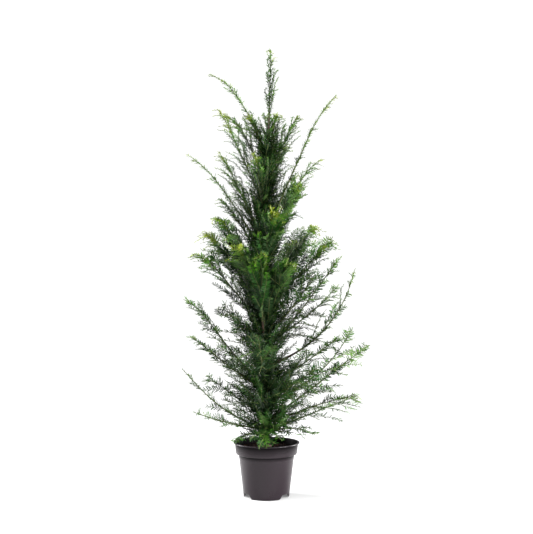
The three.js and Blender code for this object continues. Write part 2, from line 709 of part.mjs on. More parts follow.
// Pot and soil are turned on the lathe's Y axis, so their group is stood up on Z.
function containerGroup() {
  const container = new THREE.Group();
  container.name = "container";
  container.rotation.x = Math.PI / 2;
  container.add(namedMesh("pot", potGeometry(), MATERIALS.pot));
  container.add(namedMesh("soil", soilGeometry(), MATERIALS.soil));
  return container;
}

const pottedYew = new THREE.Group();
pottedYew.name = "potted_yew";
pottedYew.add(containerGroup(), plantGroup());

export default pottedYew;
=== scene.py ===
# %% [markdown]
# # A potted yew
# A young, narrow yew stands in a round plastic nursery pot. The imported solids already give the
# pot, the soil, the trunk, the boughs and the reach of each shoot. This lesson grows the finer
# plant on the same lines: bark, twigs, and needles that are real little blades.
# All lengths are in metres, and the plant's own table is in millimetres, as a grower would note it.

import math

import bpy
import numpy as np
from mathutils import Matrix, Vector


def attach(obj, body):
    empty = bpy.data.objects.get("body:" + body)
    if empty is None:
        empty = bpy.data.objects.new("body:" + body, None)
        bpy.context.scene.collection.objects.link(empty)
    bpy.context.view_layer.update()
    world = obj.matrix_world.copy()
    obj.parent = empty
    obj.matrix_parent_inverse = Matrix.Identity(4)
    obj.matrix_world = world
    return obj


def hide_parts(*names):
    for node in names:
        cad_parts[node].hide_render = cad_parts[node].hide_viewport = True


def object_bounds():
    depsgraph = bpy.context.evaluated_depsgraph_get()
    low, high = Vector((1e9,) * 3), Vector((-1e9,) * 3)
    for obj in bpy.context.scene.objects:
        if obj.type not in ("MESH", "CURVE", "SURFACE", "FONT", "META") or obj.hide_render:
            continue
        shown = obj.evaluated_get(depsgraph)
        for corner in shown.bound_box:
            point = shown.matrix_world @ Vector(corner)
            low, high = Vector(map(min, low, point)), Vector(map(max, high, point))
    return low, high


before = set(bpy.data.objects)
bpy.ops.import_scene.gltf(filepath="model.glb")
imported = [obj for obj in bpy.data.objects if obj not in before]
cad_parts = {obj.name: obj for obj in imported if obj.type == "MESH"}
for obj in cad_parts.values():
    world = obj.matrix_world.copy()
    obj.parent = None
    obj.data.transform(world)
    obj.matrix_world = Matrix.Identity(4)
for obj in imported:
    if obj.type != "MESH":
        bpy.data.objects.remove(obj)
solid_low, solid_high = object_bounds()
BODY = "root"
MM = 0.001
UP = np.array([0.0, 0.0, 1.0])
SEED = 1912
draw = np.random.default_rng(SEED)
print("solids reach from", [round(v, 3) for v in solid_low], "to", [round(v, 3) for v in solid_high])

# %% [markdown]
# ## From arrays to a mesh
# Every piece below is worked out as whole numpy arrays. A mesh only needs three lists: the points,
# the corners of all faces in a row, and where each face starts. `foreach_set` copies them in one
# go, which stays quick with tens of thousands of needles. `from_pydata` would do the same more slowly.

# %% Helpers for arrays
TINY = 1e-9


def unit(vectors):
    """Each vector divided by its own length."""
    return vectors / np.maximum(np.linalg.norm(vectors, axis=-1, keepdims=True), TINY)


def across(vectors, along):
    """The part of each vector that is square to a unit direction, made a unit itself."""
    return unit(vectors - along * np.sum(vectors * along, axis=-1, keepdims=True))


def piece(name, points, face_sets, material, nodes=(), smooth=True):
    """One finished piece: points, and sets of faces whose last axis runs over a face's corners."""
    corners = np.concatenate([faces.ravel() for faces in face_sets]).astype(np.int32)
    sizes = np.concatenate([np.full(faces[..., 0].size, faces.shape[-1]) for faces in face_sets])
    mesh = bpy.data.meshes.new(name)
    mesh.vertices.add(points[..., 0].size)
    mesh.vertices.foreach_set("co", points.astype(np.float32).ravel())
    mesh.loops.add(len(corners))
    mesh.loops.foreach_set("vertex_index", corners)
    mesh.polygons.add(len(sizes))
    mesh.polygons.foreach_set("loop_start", (np.cumsum(sizes) - sizes).astype(np.int32))
    mesh.polygons.foreach_set("use_smooth", np.full(len(sizes), smooth))
    mesh.update(calc_edges=True)
    mesh.validate()
    mesh.materials.append(material)
    made = bpy.data.objects.new(name, mesh)
    bpy.context.scene.collection.objects.link(made)
    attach(made, BODY)
    if nodes:
        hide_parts(*nodes)
    print(name, "has", int(np.sum(sizes - 2)), "triangles")


def ringed(name, points, material, nodes=()):
    """Points as stems by rings by sides: quads from each ring to the next, and a face over each end."""
    stems, rings, sides = points.shape[:3]
    ring = np.arange(sides)
    beside = (ring + 1) % sides
    low = np.arange(rings - 1)[:, None] * sides
    quads = np.stack([low + ring, low + beside, low + sides + beside, low + sides + ring], axis=-1)
    ends = np.stack([ring[::-1], ring + (rings - 1) * sides])
    shift = np.arange(stems)[:, None, None] * rings * sides
    piece(name, points, [quads.reshape(-1, 4) + shift, ends + shift], material, nodes)


print("helpers are ready")

# %% [markdown]
# ## Shared finishes
# Plastic, peat, bark and needles all vary a little from place to place, so one node group mixes two
# colours by a soft noise, and each material gives it its own colours and patch size. A second group
# draws the flaking plates of bark. A picture of bark would do too, but a noise has no seams and
# needs no file. Groups put out colours, masks and heights; the shader itself stays in the material.

# %% Node helpers
def paint(red, green, blue):
    """A colour as seen on a screen, 0 to 255, made linear for the shader."""
    seen = np.array([red, green, blue]) / 255
    linear = np.where(seen <= 0.04045, seen / 12.92, ((seen + 0.055) / 1.055) ** 2.4)
    return (*linear.tolist(), 1.0)


def feed(tree, node, values):
    """Each input of a node set to its value, or linked from a socket."""
    for key, value in values.items():
        if isinstance(value, bpy.types.NodeSocket):
            tree.links.new(value, node.inputs[key])
        else:
            node.inputs[key].default_value = value


def add_node(tree, kind, inputs, **settings):
    """A new node with its settings, and its inputs fed."""
    made = tree.nodes.new(kind)
    for key, value in settings.items():
        setattr(made, key, value)
    feed(tree, made, inputs)
    return made


def calc(tree, operation, *values, clamp=False):
    """One step of arithmetic on numbers or sockets, as the socket of its result."""
    inputs = dict(enumerate(values))
    return add_node(tree, "ShaderNodeMath", inputs, operation=operation, use_clamp=clamp).outputs[0]


def blend(tree, share, first, second):
    """Two colours mixed: (1 - share) first + share second."""
    inputs = {0: share, 6: first, 7: second}
    return add_node(tree, "ShaderNodeMix", inputs, data_type="RGBA").outputs[2]


def object_place(tree):
    """The point on the piece, in Object space."""
    return tree.nodes.new("ShaderNodeTexCoord").outputs["Object"]


def new_group(name, inputs, outputs):
    """An empty shader group with its named sockets, and its two end nodes."""
    group = bpy.data.node_groups.new(name, "ShaderNodeTree")
    for label, kind, value in inputs:
        group.interface.new_socket(label, in_out="INPUT", socket_type=kind).default_value = value
    for label, kind in outputs:
        group.interface.new_socket(label, in_out="OUTPUT", socket_type=kind)
    return group, group.nodes.new("NodeGroupInput"), group.nodes.new("NodeGroupOutput")


print("node helpers are ready")

# %% The two groups
COLOUR = "NodeSocketColor"
NUMBER = "NodeSocketFloat"
GREY = (0.2, 0.2, 0.2, 1.0)
PATCH_NOISE = {"Detail": 5.0, "Roughness": 0.6}
PLATE_STRETCH = (1.0, 1.0, 0.3)
PLATE_HOLLOW = -0.8
PLATE_RANGE = {"From Min": -0.25, "From Max": 0.45}
BARK_GRAIN = {"Scale": 300.0, "Detail": 4.0}


def patchy_group():
    """Two colours mixed by noise in Object space: mask = 0.5 + contrast (noise - 0.5)."""
    group, given, result = new_group(
        "patchy_colour",
        [
            ("Dark", COLOUR, GREY), ("Light", COLOUR, GREY),
            ("Patches per metre", NUMBER, 20.0), ("Contrast", NUMBER, 2.0),
        ],
        [("Color", COLOUR), ("Mask", NUMBER)],
    )
    where = {"Vector": object_place(group), "Scale": given.outputs["Patches per metre"]}
    noise = add_node(group, "ShaderNodeTexNoise", {**where, **PATCH_NOISE})
    middle = calc(group, "SUBTRACT", noise.outputs["Fac"], 0.5)
    mask = calc(group, "MULTIPLY_ADD", middle, given.outputs["Contrast"], 0.5, clamp=True)
    colour = blend(group, mask, given.outputs["Dark"], given.outputs["Light"])
    feed(group, result, {"Color": colour, "Mask": mask})
    return group


def bark_group():
    """Plates of bark: height = grain less 0.8 of the way from a cell's middle, drawn out along the stem."""
    group, given, result = new_group(
        "bark_plates",
        [("Gap", COLOUR, GREY), ("Plate", COLOUR, GREY), ("Plates per metre", NUMBER, 120.0)],
        [("Color", COLOUR), ("Height", NUMBER)],
    )
    stretch = {"Vector": object_place(group), "Scale": PLATE_STRETCH}
    drawn = add_node(group, "ShaderNodeMapping", stretch).outputs[0]
    where = {"Vector": drawn, "Scale": given.outputs["Plates per metre"]}
    cells = add_node(group, "ShaderNodeTexVoronoi", where, feature="F1")
    grain = add_node(group, "ShaderNodeTexNoise", {"Vector": drawn, **BARK_GRAIN})
    height = calc(group, "MULTIPLY_ADD", cells.outputs["Distance"], PLATE_HOLLOW, grain.outputs["Fac"])
    mask = add_node(group, "ShaderNodeMapRange", {"Value": height, **PLATE_RANGE}).outputs[0]
    colour = blend(group, mask, given.outputs["Gap"], given.outputs["Plate"])
    feed(group, result, {"Color": colour, "Height": height})
    return group


PATCHY = patchy_group()
BARK = bark_group()
print("groups:", [group.name for group in (PATCHY, BARK)])

# %% Bark and soil
BARK_ROUGHNESS = 0.82
SOIL_ROUGHNESS = 0.95
SOIL_SPECULAR = 0.08


def new_material(name):
    """A material with its node tree and its Principled shader."""
    material = bpy.data.materials.new(name)
    material.use_nodes = True
    return material, material.node_tree, material.node_tree.nodes["Principled BSDF"]


def patches(tree, dark, light, size, contrast):
    """The patchy group's sockets, for two colours, a count of patches per metre and a contrast."""
    values = {"Dark": dark, "Light": light, "Patches per metre": size, "Contrast": contrast}
    return add_node(tree, "ShaderNodeGroup", values, node_tree=PATCHY).outputs


def raised(tree, height, strength, distance):
    """A height turned into a bent normal, as its socket."""
    values = {"Strength": strength, "Distance": distance, "Height": height}
    return add_node(tree, "ShaderNodeBump", values).outputs[0]


def bark_material(name, gap, plate, size, depth):
    """Bark with plates of a given count per metre and depth in metres."""
    material, tree, shader = new_material(name)
    values = {"Gap": gap, "Plate": plate, "Plates per metre": size}
    plates = add_node(tree, "ShaderNodeGroup", values, node_tree=BARK).outputs
    normal = raised(tree, plates["Height"], strength=0.7, distance=depth)
    feed(tree, shader, {"Base Color": plates["Color"], "Roughness": BARK_ROUGHNESS, "Normal": normal})
    return material


def soil_material(name, dark, light, size, depth):
    """Peat or bark chips: two browns in small patches, raised where they are light, with little gloss."""
    material, tree, shader = new_material(name)
    mix = patches(tree, dark, light, size, contrast=3.5)
    normal = raised(tree, mix["Mask"], strength=0.8, distance=depth)
    feed(tree, shader, {"Base Color": mix["Color"], "Roughness": SOIL_ROUGHNESS, "Normal": normal})
    feed(tree, shader, {"Specular IOR Level": SOIL_SPECULAR})
    return material


PEAT = soil_material("peat", paint(9, 6, 6), paint(34, 20, 16), 160.0, 2 * MM)
CHIP = soil_material("bark_chips", paint(52, 30, 22), paint(104, 66, 48), 220.0, 1 * MM)
OLD_BARK = bark_material("old_bark", paint(38, 28, 23), paint(84, 61, 48), 140.0, 1.2 * MM)
TWIG_BARK = bark_material("twig_bark", paint(50, 58, 24), paint(90, 98, 44), 300.0, 0.4 * MM)
GREEN_BARK = bark_material("green_bark", paint(92, 102, 50), paint(132, 142, 80), 300.0, 0.2 * MM)
print("materials:", [material.name for material in bpy.data.materials])

# %% Plastic and needles
SKIN_WEIGHT = 0.62
SKIN_ROUGHNESS = 0.26
PLASTIC_SPECULAR = 0.02
PLASTIC_TINT = paint(255, 234, 247)
PLASTIC_DULLNESS = {"To Min": 0.34, "To Max": 0.42}
NEEDLE_ROUGHNESS = 0.5
NEEDLE_SPECULAR = 0.18


def spot_of(tree):
    """The sockets X, Y and Z of the point in Object space."""
    return add_node(tree, "ShaderNodeSeparateXYZ", {0: object_place(tree)}).outputs


def corner_shade_mask(tree, corner, depth):
    """A mask that grows from 0 to 1 over a depth below a corner's height, and is 0 above it."""
    height = spot_of(tree)["Z"]
    rise = {"Value": height, "From Min": corner - depth, "From Max": corner}
    grown = add_node(tree, "ShaderNodeMapRange", rise).outputs[0]
    return calc(tree, "MULTIPLY", grown, calc(tree, "LESS_THAN", height, corner))


def inside_shade_mask(tree, slope, radius, foot):
    """1 inside the band: above its foot, where way from the axis - slope times height < radius."""
    spot = spot_of(tree)
    level = add_node(tree, "ShaderNodeCombineXYZ", {0: spot["X"], 1: spot["Y"]}).outputs[0]
    away = add_node(tree, "ShaderNodeVectorMath", {0: level}, operation="LENGTH").outputs["Value"]
    within = calc(tree, "LESS_THAN", calc(tree, "MULTIPLY_ADD", spot["Z"], -slope, away), radius)
    return calc(tree, "MULTIPLY", within, calc(tree, "GREATER_THAN", spot["Z"], foot))


def plastic_material(name, dark, light, painted_shade, corners, inside):
    """Moulded plastic: a dark grey under a smooth skin. Painted shade in the corners under the lip and the
    band, and inside the band, darkens the colour and takes the skin away.
    """
    material, tree, shader = new_material(name)
    film = patches(tree, dark, light, size=9.0, contrast=1.6)
    dull = add_node(tree, "ShaderNodeMapRange", {"Value": film["Mask"], **PLASTIC_DULLNESS})
    grain = patches(tree, dark, light, size=900.0, contrast=1.0)
    colour = film["Color"]
    skin = SKIN_WEIGHT
    # painted shade: each mask blends the colour towards the shade colour and takes away the coat
    for mask in [corner_shade_mask(tree, *corner) for corner in corners] + [inside_shade_mask(tree, *inside)]:
        colour = blend(tree, mask, colour, painted_shade)
        lost = calc(tree, "MULTIPLY", mask, SKIN_WEIGHT)
        skin = calc(tree, "SUBTRACT", skin, lost, clamp=True)
    feed(tree, shader, {
        "Base Color": colour, "Roughness": dull.outputs[0], "Coat Weight": skin,
        "Coat Roughness": SKIN_ROUGHNESS, "Specular IOR Level": PLASTIC_SPECULAR,
        "Specular Tint": PLASTIC_TINT,
        "Normal": raised(tree, grain["Mask"], strength=0.05, distance=0.4 * MM),
    })
    return material


def needle_material(name, dark, light, under):
    """A needle's upper side in two near shades, and its underside in a third by Backfacing."""
    material, tree, shader = new_material(name)
    blade = patches(tree, dark, light, size=45.0, contrast=2.4)
    side = tree.nodes.new("ShaderNodeNewGeometry")
    both = blend(tree, side.outputs["Backfacing"], blade["Color"], under)
    feed(tree, shader, {"Base Color": both, "Roughness": NEEDLE_ROUGHNESS})
    feed(tree, shader, {"Specular IOR Level": NEEDLE_SPECULAR})
    return material


print("plastic and needles can be mixed")

# %% [markdown]
# ## The pot
# The real pot is one thin moulding: a tapering wall, a step out to an upright band, and a narrow lip.
# It stands on a pad and on the wall's foot, and three notches in the foot drain the hollow between.
# It could be modelled as a spun curve with cut holes. Here it is one surface of two parameters, the
# angle round the pot and the way along its outline, and the foot's edge simply rises over the
# notches, so no cutting is needed.

# %% Pot sizes and outline
POT_SEGMENTS = 144
FOOT_RADIUS = 75.5 * MM
FOOT_INSIDE = 72.3 * MM
HOLLOW = 14 * MM
# radius and height: out under the pad, up the wall, over the lip, and back down inside
POT_OUTLINE = np.array([
    [4.0, 0.0], [30.0, 0.0], [34.0, 14.0], [72.3, 14.0], [72.3, 0.0], [73.5, 0.0], [75.5, 2.0],
    [93.0, 141.0], [100.7, 142.0], [102.2, 145.0], [105.2, 176.0], [110.0, 177.0], [110.0, 180.0],
    [103.0, 180.0], [100.0, 145.0], [90.8, 141.0], [75.2, 17.0], [31.7, 17.0], [27.7, 3.0], [4.0, 3.0],
]) * MM
POT_ROUNDING = 1.1 * MM
ROUNDING_STEPS = 4
ROUNDING_ROOM = 0.45
NOTCH_ANGLES = np.radians([-33, 87, 207])
NOTCH_WIDTH = 60 * MM
NOTCH_HEIGHT = 13.5 * MM
NOTCH_SHOULDER = 14 * MM
NOTCH_REACH = 17 * MM
NOTCH_STEPS = 9
POT_STEP = 14 * MM


def eased(t):
    """A share that starts and ends softly: 3t^2 - 2t^3."""
    return t * t * (3 - 2 * t)


def wrapped(angle):
    """An angle brought into the turn from minus pi to pi."""
    return (angle + math.pi) % (2 * math.pi) - math.pi


def rounded(outline):
    """Each inner corner drawn as a short curve: (1-t)^2 of the way back and t^2 of the way on."""
    corner = outline[1:-1]
    back = outline[:-2] - corner
    on = outline[2:] - corner
    room = ROUNDING_ROOM * np.minimum(np.linalg.norm(back, axis=1), np.linalg.norm(on, axis=1))
    cut = np.minimum(POT_ROUNDING, room)[:, None, None]
    t = np.linspace(0, 1, ROUNDING_STEPS)[:, None]
    curve = corner[:, None] + unit(back)[:, None] * cut * (1 - t) ** 2 + unit(on)[:, None] * cut * t ** 2
    return np.concatenate([outline[:1], curve.reshape(-1, 2), outline[-1:]])


def filled_in(outline):
    """Long straight stretches cut into equal steps, by reading the outline at even way-marks too."""
    way = np.concatenate([[0], np.cumsum(np.linalg.norm(np.diff(outline, axis=0), axis=1))])
    marks = np.unique(np.concatenate([way, np.arange(0, way[-1], POT_STEP)]))
    return np.stack([np.interp(marks, way, side) for side in outline.T], axis=1)


def notch_rise(angle):
    """How far the foot's edge rises: the notch's height, reached over a soft shoulder."""
    off = wrapped(angle[:, None] - NOTCH_ANGLES)
    aside = np.min(np.abs(off), axis=1) * FOOT_RADIUS
    return NOTCH_HEIGHT * eased(np.clip((NOTCH_WIDTH / 2 - aside) / NOTCH_SHOULDER, 0, 1))


even = np.linspace(-math.pi, math.pi, POT_SEGMENTS, endpoint=False)
edge = np.linspace(0.5, 1, NOTCH_STEPS) * NOTCH_WIDTH / 2 / FOOT_RADIUS
fine = wrapped(NOTCH_ANGLES[:, None] + np.concatenate([-edge, edge]))
POT_ANGLES = np.unique(np.concatenate([even, fine.ravel()]))
print("pot drawn at", len(POT_ANGLES), "angles round")

# %% The pot's surface
# the height of each corner under the lip and the band, and how far down its painted shade fades
SHADED_CORNERS = [(176.4 * MM, 30 * MM), (141.4 * MM, 14 * MM)]
# a cone halfway through the band's wall, by its slope and its radius at the ground, and the band's foot:
# inside it the plastic is painted in shade
BAND_MIDDLE = (3 / 33, 87.9 * MM, 143.5 * MM)
# the third colour is the painted shade in the corners and inside the band
POT_PLASTIC = plastic_material(
    "pot_plastic", paint(21, 11, 18), paint(26, 14, 22), paint(4, 4, 4), SHADED_CORNERS, BAND_MIDDLE,
)


def ring_points(radius, height, angle):
    """Points at x = r cos a, y = r sin a, z = h for arrays of radius, height and angle."""
    shape = np.broadcast(radius, height, angle).shape
    spots = (radius * np.cos(angle), radius * np.sin(angle), height)
    return np.stack([np.broadcast_to(spot, shape) for spot in spots], axis=-1)


outline = filled_in(rounded(POT_OUTLINE))
radius, height = outline[:, :1], outline[:, 1:]
fades_at = np.where(radius < FOOT_INSIDE + 0.1 * MM, HOLLOW, NOTCH_REACH)
at_foot = np.clip(1 - height / fades_at, 0, 1) * (radius > FOOT_INSIDE - 2 * MM)
pot_points = ring_points(radius, height + at_foot * notch_rise(POT_ANGLES), POT_ANGLES)
ringed("pot", pot_points[None], POT_PLASTIC, ["pot"])

# %% [markdown]
# ## Soil
# The pot is filled with dark peat to a little below the lip. A flat disc would look like a lid, so
# the surface is a function of radius and angle with soft lumps from lattice noise, and loose crumbs
# and a few chips of bark lie on it. The crumbs are joined into one mesh, because the export keeps
# meshes and drops scattered copies.

# %% Lattice noise
WORD = np.uint64(0xFFFFFFFF)
FAR_BELOW = 4096


def lattice(first, second, seed):
    """A repeatable random number from 0 to 1 for each pair of whole numbers, by mixing their bits."""
    mixed = first.astype(np.uint64) * np.uint64(0x9E3779B1)
    mixed = mixed + second.astype(np.uint64) * np.uint64(0x85EBCA77)
    mixed = (mixed + np.uint64(seed * 0x27D4EB2F)) & WORD
    for bits, factor in ((15, 0x2C1B3C6D), (12, 0x297A2D39)):
        mixed = ((mixed ^ (mixed >> np.uint64(bits))) * np.uint64(factor)) & WORD
    return (mixed ^ (mixed >> np.uint64(15))).astype(float) / 2 ** 32


def smooth_noise(first, second, seed, wrap=10 ** 6):
    """Random values at whole numbers, blended softly between. The first number repeats after wrap."""
    left, below = np.floor(first), np.floor(second)
    t, s = eased(first - left), eased(second - below)
    left, below = left.astype(np.int64) % wrap, below.astype(np.int64) + FAR_BELOW
    right = (left + 1) % wrap
    low = lattice(left, below, seed) * (1 - t) + lattice(right, below, seed) * t
    high = lattice(left, below + 1, seed) * (1 - t) + lattice(right, below + 1, seed) * t
    return low * (1 - s) + high * s


SOIL_TOP = 164 * MM
SOIL_EDGE_DROP = 5 * MM
SOIL_LUMP = 3.2 * MM
SOIL_DEPTH = 16 * MM
BAND_HEIGHTS = [145 * MM, 180 * MM]
BAND_INSIDE = [100.0 * MM, 103.0 * MM]
SOIL_GAP = 0.5 * MM
COARSE_LUMP, FINE_LUMP = 16 * MM, 6 * MM
COARSE_PART, FINE_PART = 0.65, 0.35


def soil_radius(height):
    """The inside of the pot's band at a height, less half a millimetre."""
    return np.interp(height, BAND_HEIGHTS, BAND_INSIDE) - SOIL_GAP


def soil_height(x, y):
    """The peat's top: a low dome that falls to the edge as the square of radius, with two sizes of lump."""
    share = np.hypot(x, y) / soil_radius(SOIL_TOP)
    coarse = smooth_noise(x / COARSE_LUMP + 40, y / COARSE_LUMP + 40, seed=3)
    fine = smooth_noise(x / FINE_LUMP + 90, y / FINE_LUMP + 90, seed=4)
    lumps = COARSE_PART * coarse + FINE_PART * fine
    return SOIL_TOP - SOIL_EDGE_DROP * share ** 2 + SOIL_LUMP * (lumps - 0.5)


print("soil edge radius", round(float(soil_radius(SOIL_TOP - SOIL_EDGE_DROP)), 4))

# %% Soil, crumbs and chips
SOIL_RINGS = 46
SOIL_SEGMENTS = 150
out = np.linspace(1.0, 0.01, SOIL_RINGS)[:, None] ** 0.8 * soil_radius(SOIL_TOP - SOIL_EDGE_DROP)
turn = np.linspace(0, 2 * math.pi, SOIL_SEGMENTS, endpoint=False)[None, :]
top = soil_height(out * np.cos(turn), out * np.sin(turn))
under = ring_points(soil_radius(SOIL_TOP - SOIL_DEPTH), SOIL_TOP - SOIL_DEPTH, turn)
soil_points = np.concatenate([under, ring_points(out, top, turn)])
ringed("soil", soil_points[None], PEAT, ["soil"])

STREWN_RADIUS = 95 * MM
CRUMB = np.array([[1, 0, 0], [0, 1, 0], [-1, 0, 0], [0, -1, 0], [0, 0, 1], [0, 0, -1]], float)
CRUMB_TOP = [[0, 1, 4], [1, 2, 4], [2, 3, 4], [3, 0, 4]]
CRUMB_FACES = np.array(CRUMB_TOP + [[1, 0, 5], [2, 1, 5], [3, 2, 5], [0, 3, 5]])


def crumbs(name, count, smallest, largest, flatness, material):
    """Eight-sided lumps strewn evenly: radius = R sqrt(chance), each corner pushed in or out by chance."""
    away = STREWN_RADIUS * np.sqrt(draw.random(count))
    bearing = draw.random(count) * 2 * math.pi
    x, y = away * np.cos(bearing), away * np.sin(bearing)
    size = smallest + (largest - smallest) * draw.random(count) ** 2
    corner = CRUMB * (0.6 + 0.6 * draw.random((count, 6, 1))) * np.array([1.0, 0.75, flatness])
    spin = draw.random(count) * 2 * math.pi
    spun = (corner[..., 0] + 1j * corner[..., 1]) * np.exp(1j * spin)[:, None]
    tilted = corner[..., 2] + corner[..., 0] * (draw.random((count, 1)) - 0.5)
    turned = np.stack([spun.real, spun.imag, tilted], axis=-1)
    centre = np.stack([x, y, soil_height(x, y) + size * flatness * 0.3], axis=-1)
    points = centre[:, None] + turned * size[:, None, None]
    faces = CRUMB_FACES + len(CRUMB) * np.arange(count)[:, None, None]
    piece(name, points, [faces], material, smooth=False)


crumbs("soil_crumbs", 1500, 1.2 * MM, 4.5 * MM, 0.8, PEAT)
crumbs("soil_chips", 130, 2.5 * MM, 7.5 * MM, 0.25, CHIP)

# %% [markdown]
# ## Trunk
# The trunk tapers from a small root flare to its tip and is whole through the foliage. Its line and
# its thickness are the same functions of height that the solid has. The bark's furrows are real
# geometry: the radius at each angle and height is multiplied by a noise drawn out along the stem.

# %% Trunk line and bark relief
TRUNK_FOOT, TRUNK_TOP = 164.3 * MM, 1255 * MM
BASE_RADIUS, TIP_RADIUS = 11.5 * MM, 3 * MM
TAPER_POWER = 0.85
FLARE, FLARE_HEIGHT = 5.5 * MM, 50 * MM
LEAN, SWAY_X, SWAY_Y = 9 * MM, 15 * MM, 7 * MM
FURROW = 0.07
PLATES_ROUND, PLATE_LENGTH = 12, 16 * MM
FLAKES_ROUND, FLAKE_LENGTH = 24, 6 * MM
TRUNK_ROWS, TRUNK_COLUMNS = 420, 40
TRUNK_BARK_SEED, BOUGH_BARK_SEED = 11, 21


def trunk_share(height):
    """How far up the trunk a height is, from 0 at the soil to 1 at the tip."""
    return np.clip((height - TRUNK_FOOT) / (TRUNK_TOP - TRUNK_FOOT), 0, 1)


def trunk_axis(height):
    """The trunk's middle: a lean that grows as the square, and a sway of sine squared in x and y."""
    t = trunk_share(height)
    sway = np.sin(np.pi * t) ** 2
    x = LEAN * t * t - SWAY_X * sway
    y = SWAY_Y * sway * np.cos(np.pi * t)
    return np.stack([x, y, height + 0 * x], axis=-1)


def trunk_radius(height):
    """An even taper with the power 0.85, and a flare that dies away as a square above the soil."""
    t = trunk_share(height)
    flare = FLARE * np.clip(1 - (height - TRUNK_FOOT) / FLARE_HEIGHT, 0, 1) ** 2
    return BASE_RADIUS + (TIP_RADIUS - BASE_RADIUS) * t ** TAPER_POWER + flare


def furrows(turns, length, seed):
    """Bark relief as a factor near 1: noise twelve cells round, drawn out along the stem, with flakes."""
    plates = smooth_noise(turns * PLATES_ROUND, length / PLATE_LENGTH, seed, wrap=PLATES_ROUND)
    flakes = smooth_noise(turns * FLAKES_ROUND, length / FLAKE_LENGTH, seed + 1, wrap=FLAKES_ROUND)
    return 1 + FURROW * (COARSE_PART * plates + FINE_PART * flakes - 0.5) * 2


rows = np.linspace(TRUNK_FOOT, TRUNK_TOP, TRUNK_ROWS)[:, None]
turns = np.linspace(0, 1, TRUNK_COLUMNS, endpoint=False)
thick = trunk_radius(rows) * furrows(turns, rows, TRUNK_BARK_SEED)
trunk = trunk_axis(rows) + ring_points(thick, 0.0, turns * 2 * math.pi)
ringed("trunk", trunk[None], OLD_BARK, ["trunk"])

# %% [markdown]
# ## The plan of the shoots
# Each row of this table is one main shoot: where its foot is on the trunk, the compass bearing it
# leaves by, how far out and how high its tip is, how it sweeps, and how much of it is a thick bough.
# The habit says how it carries its twigs. The solids were grown from the same rows. Ten of the shoots
# have a finer habit here, because the few twigs of a solid can't show it.

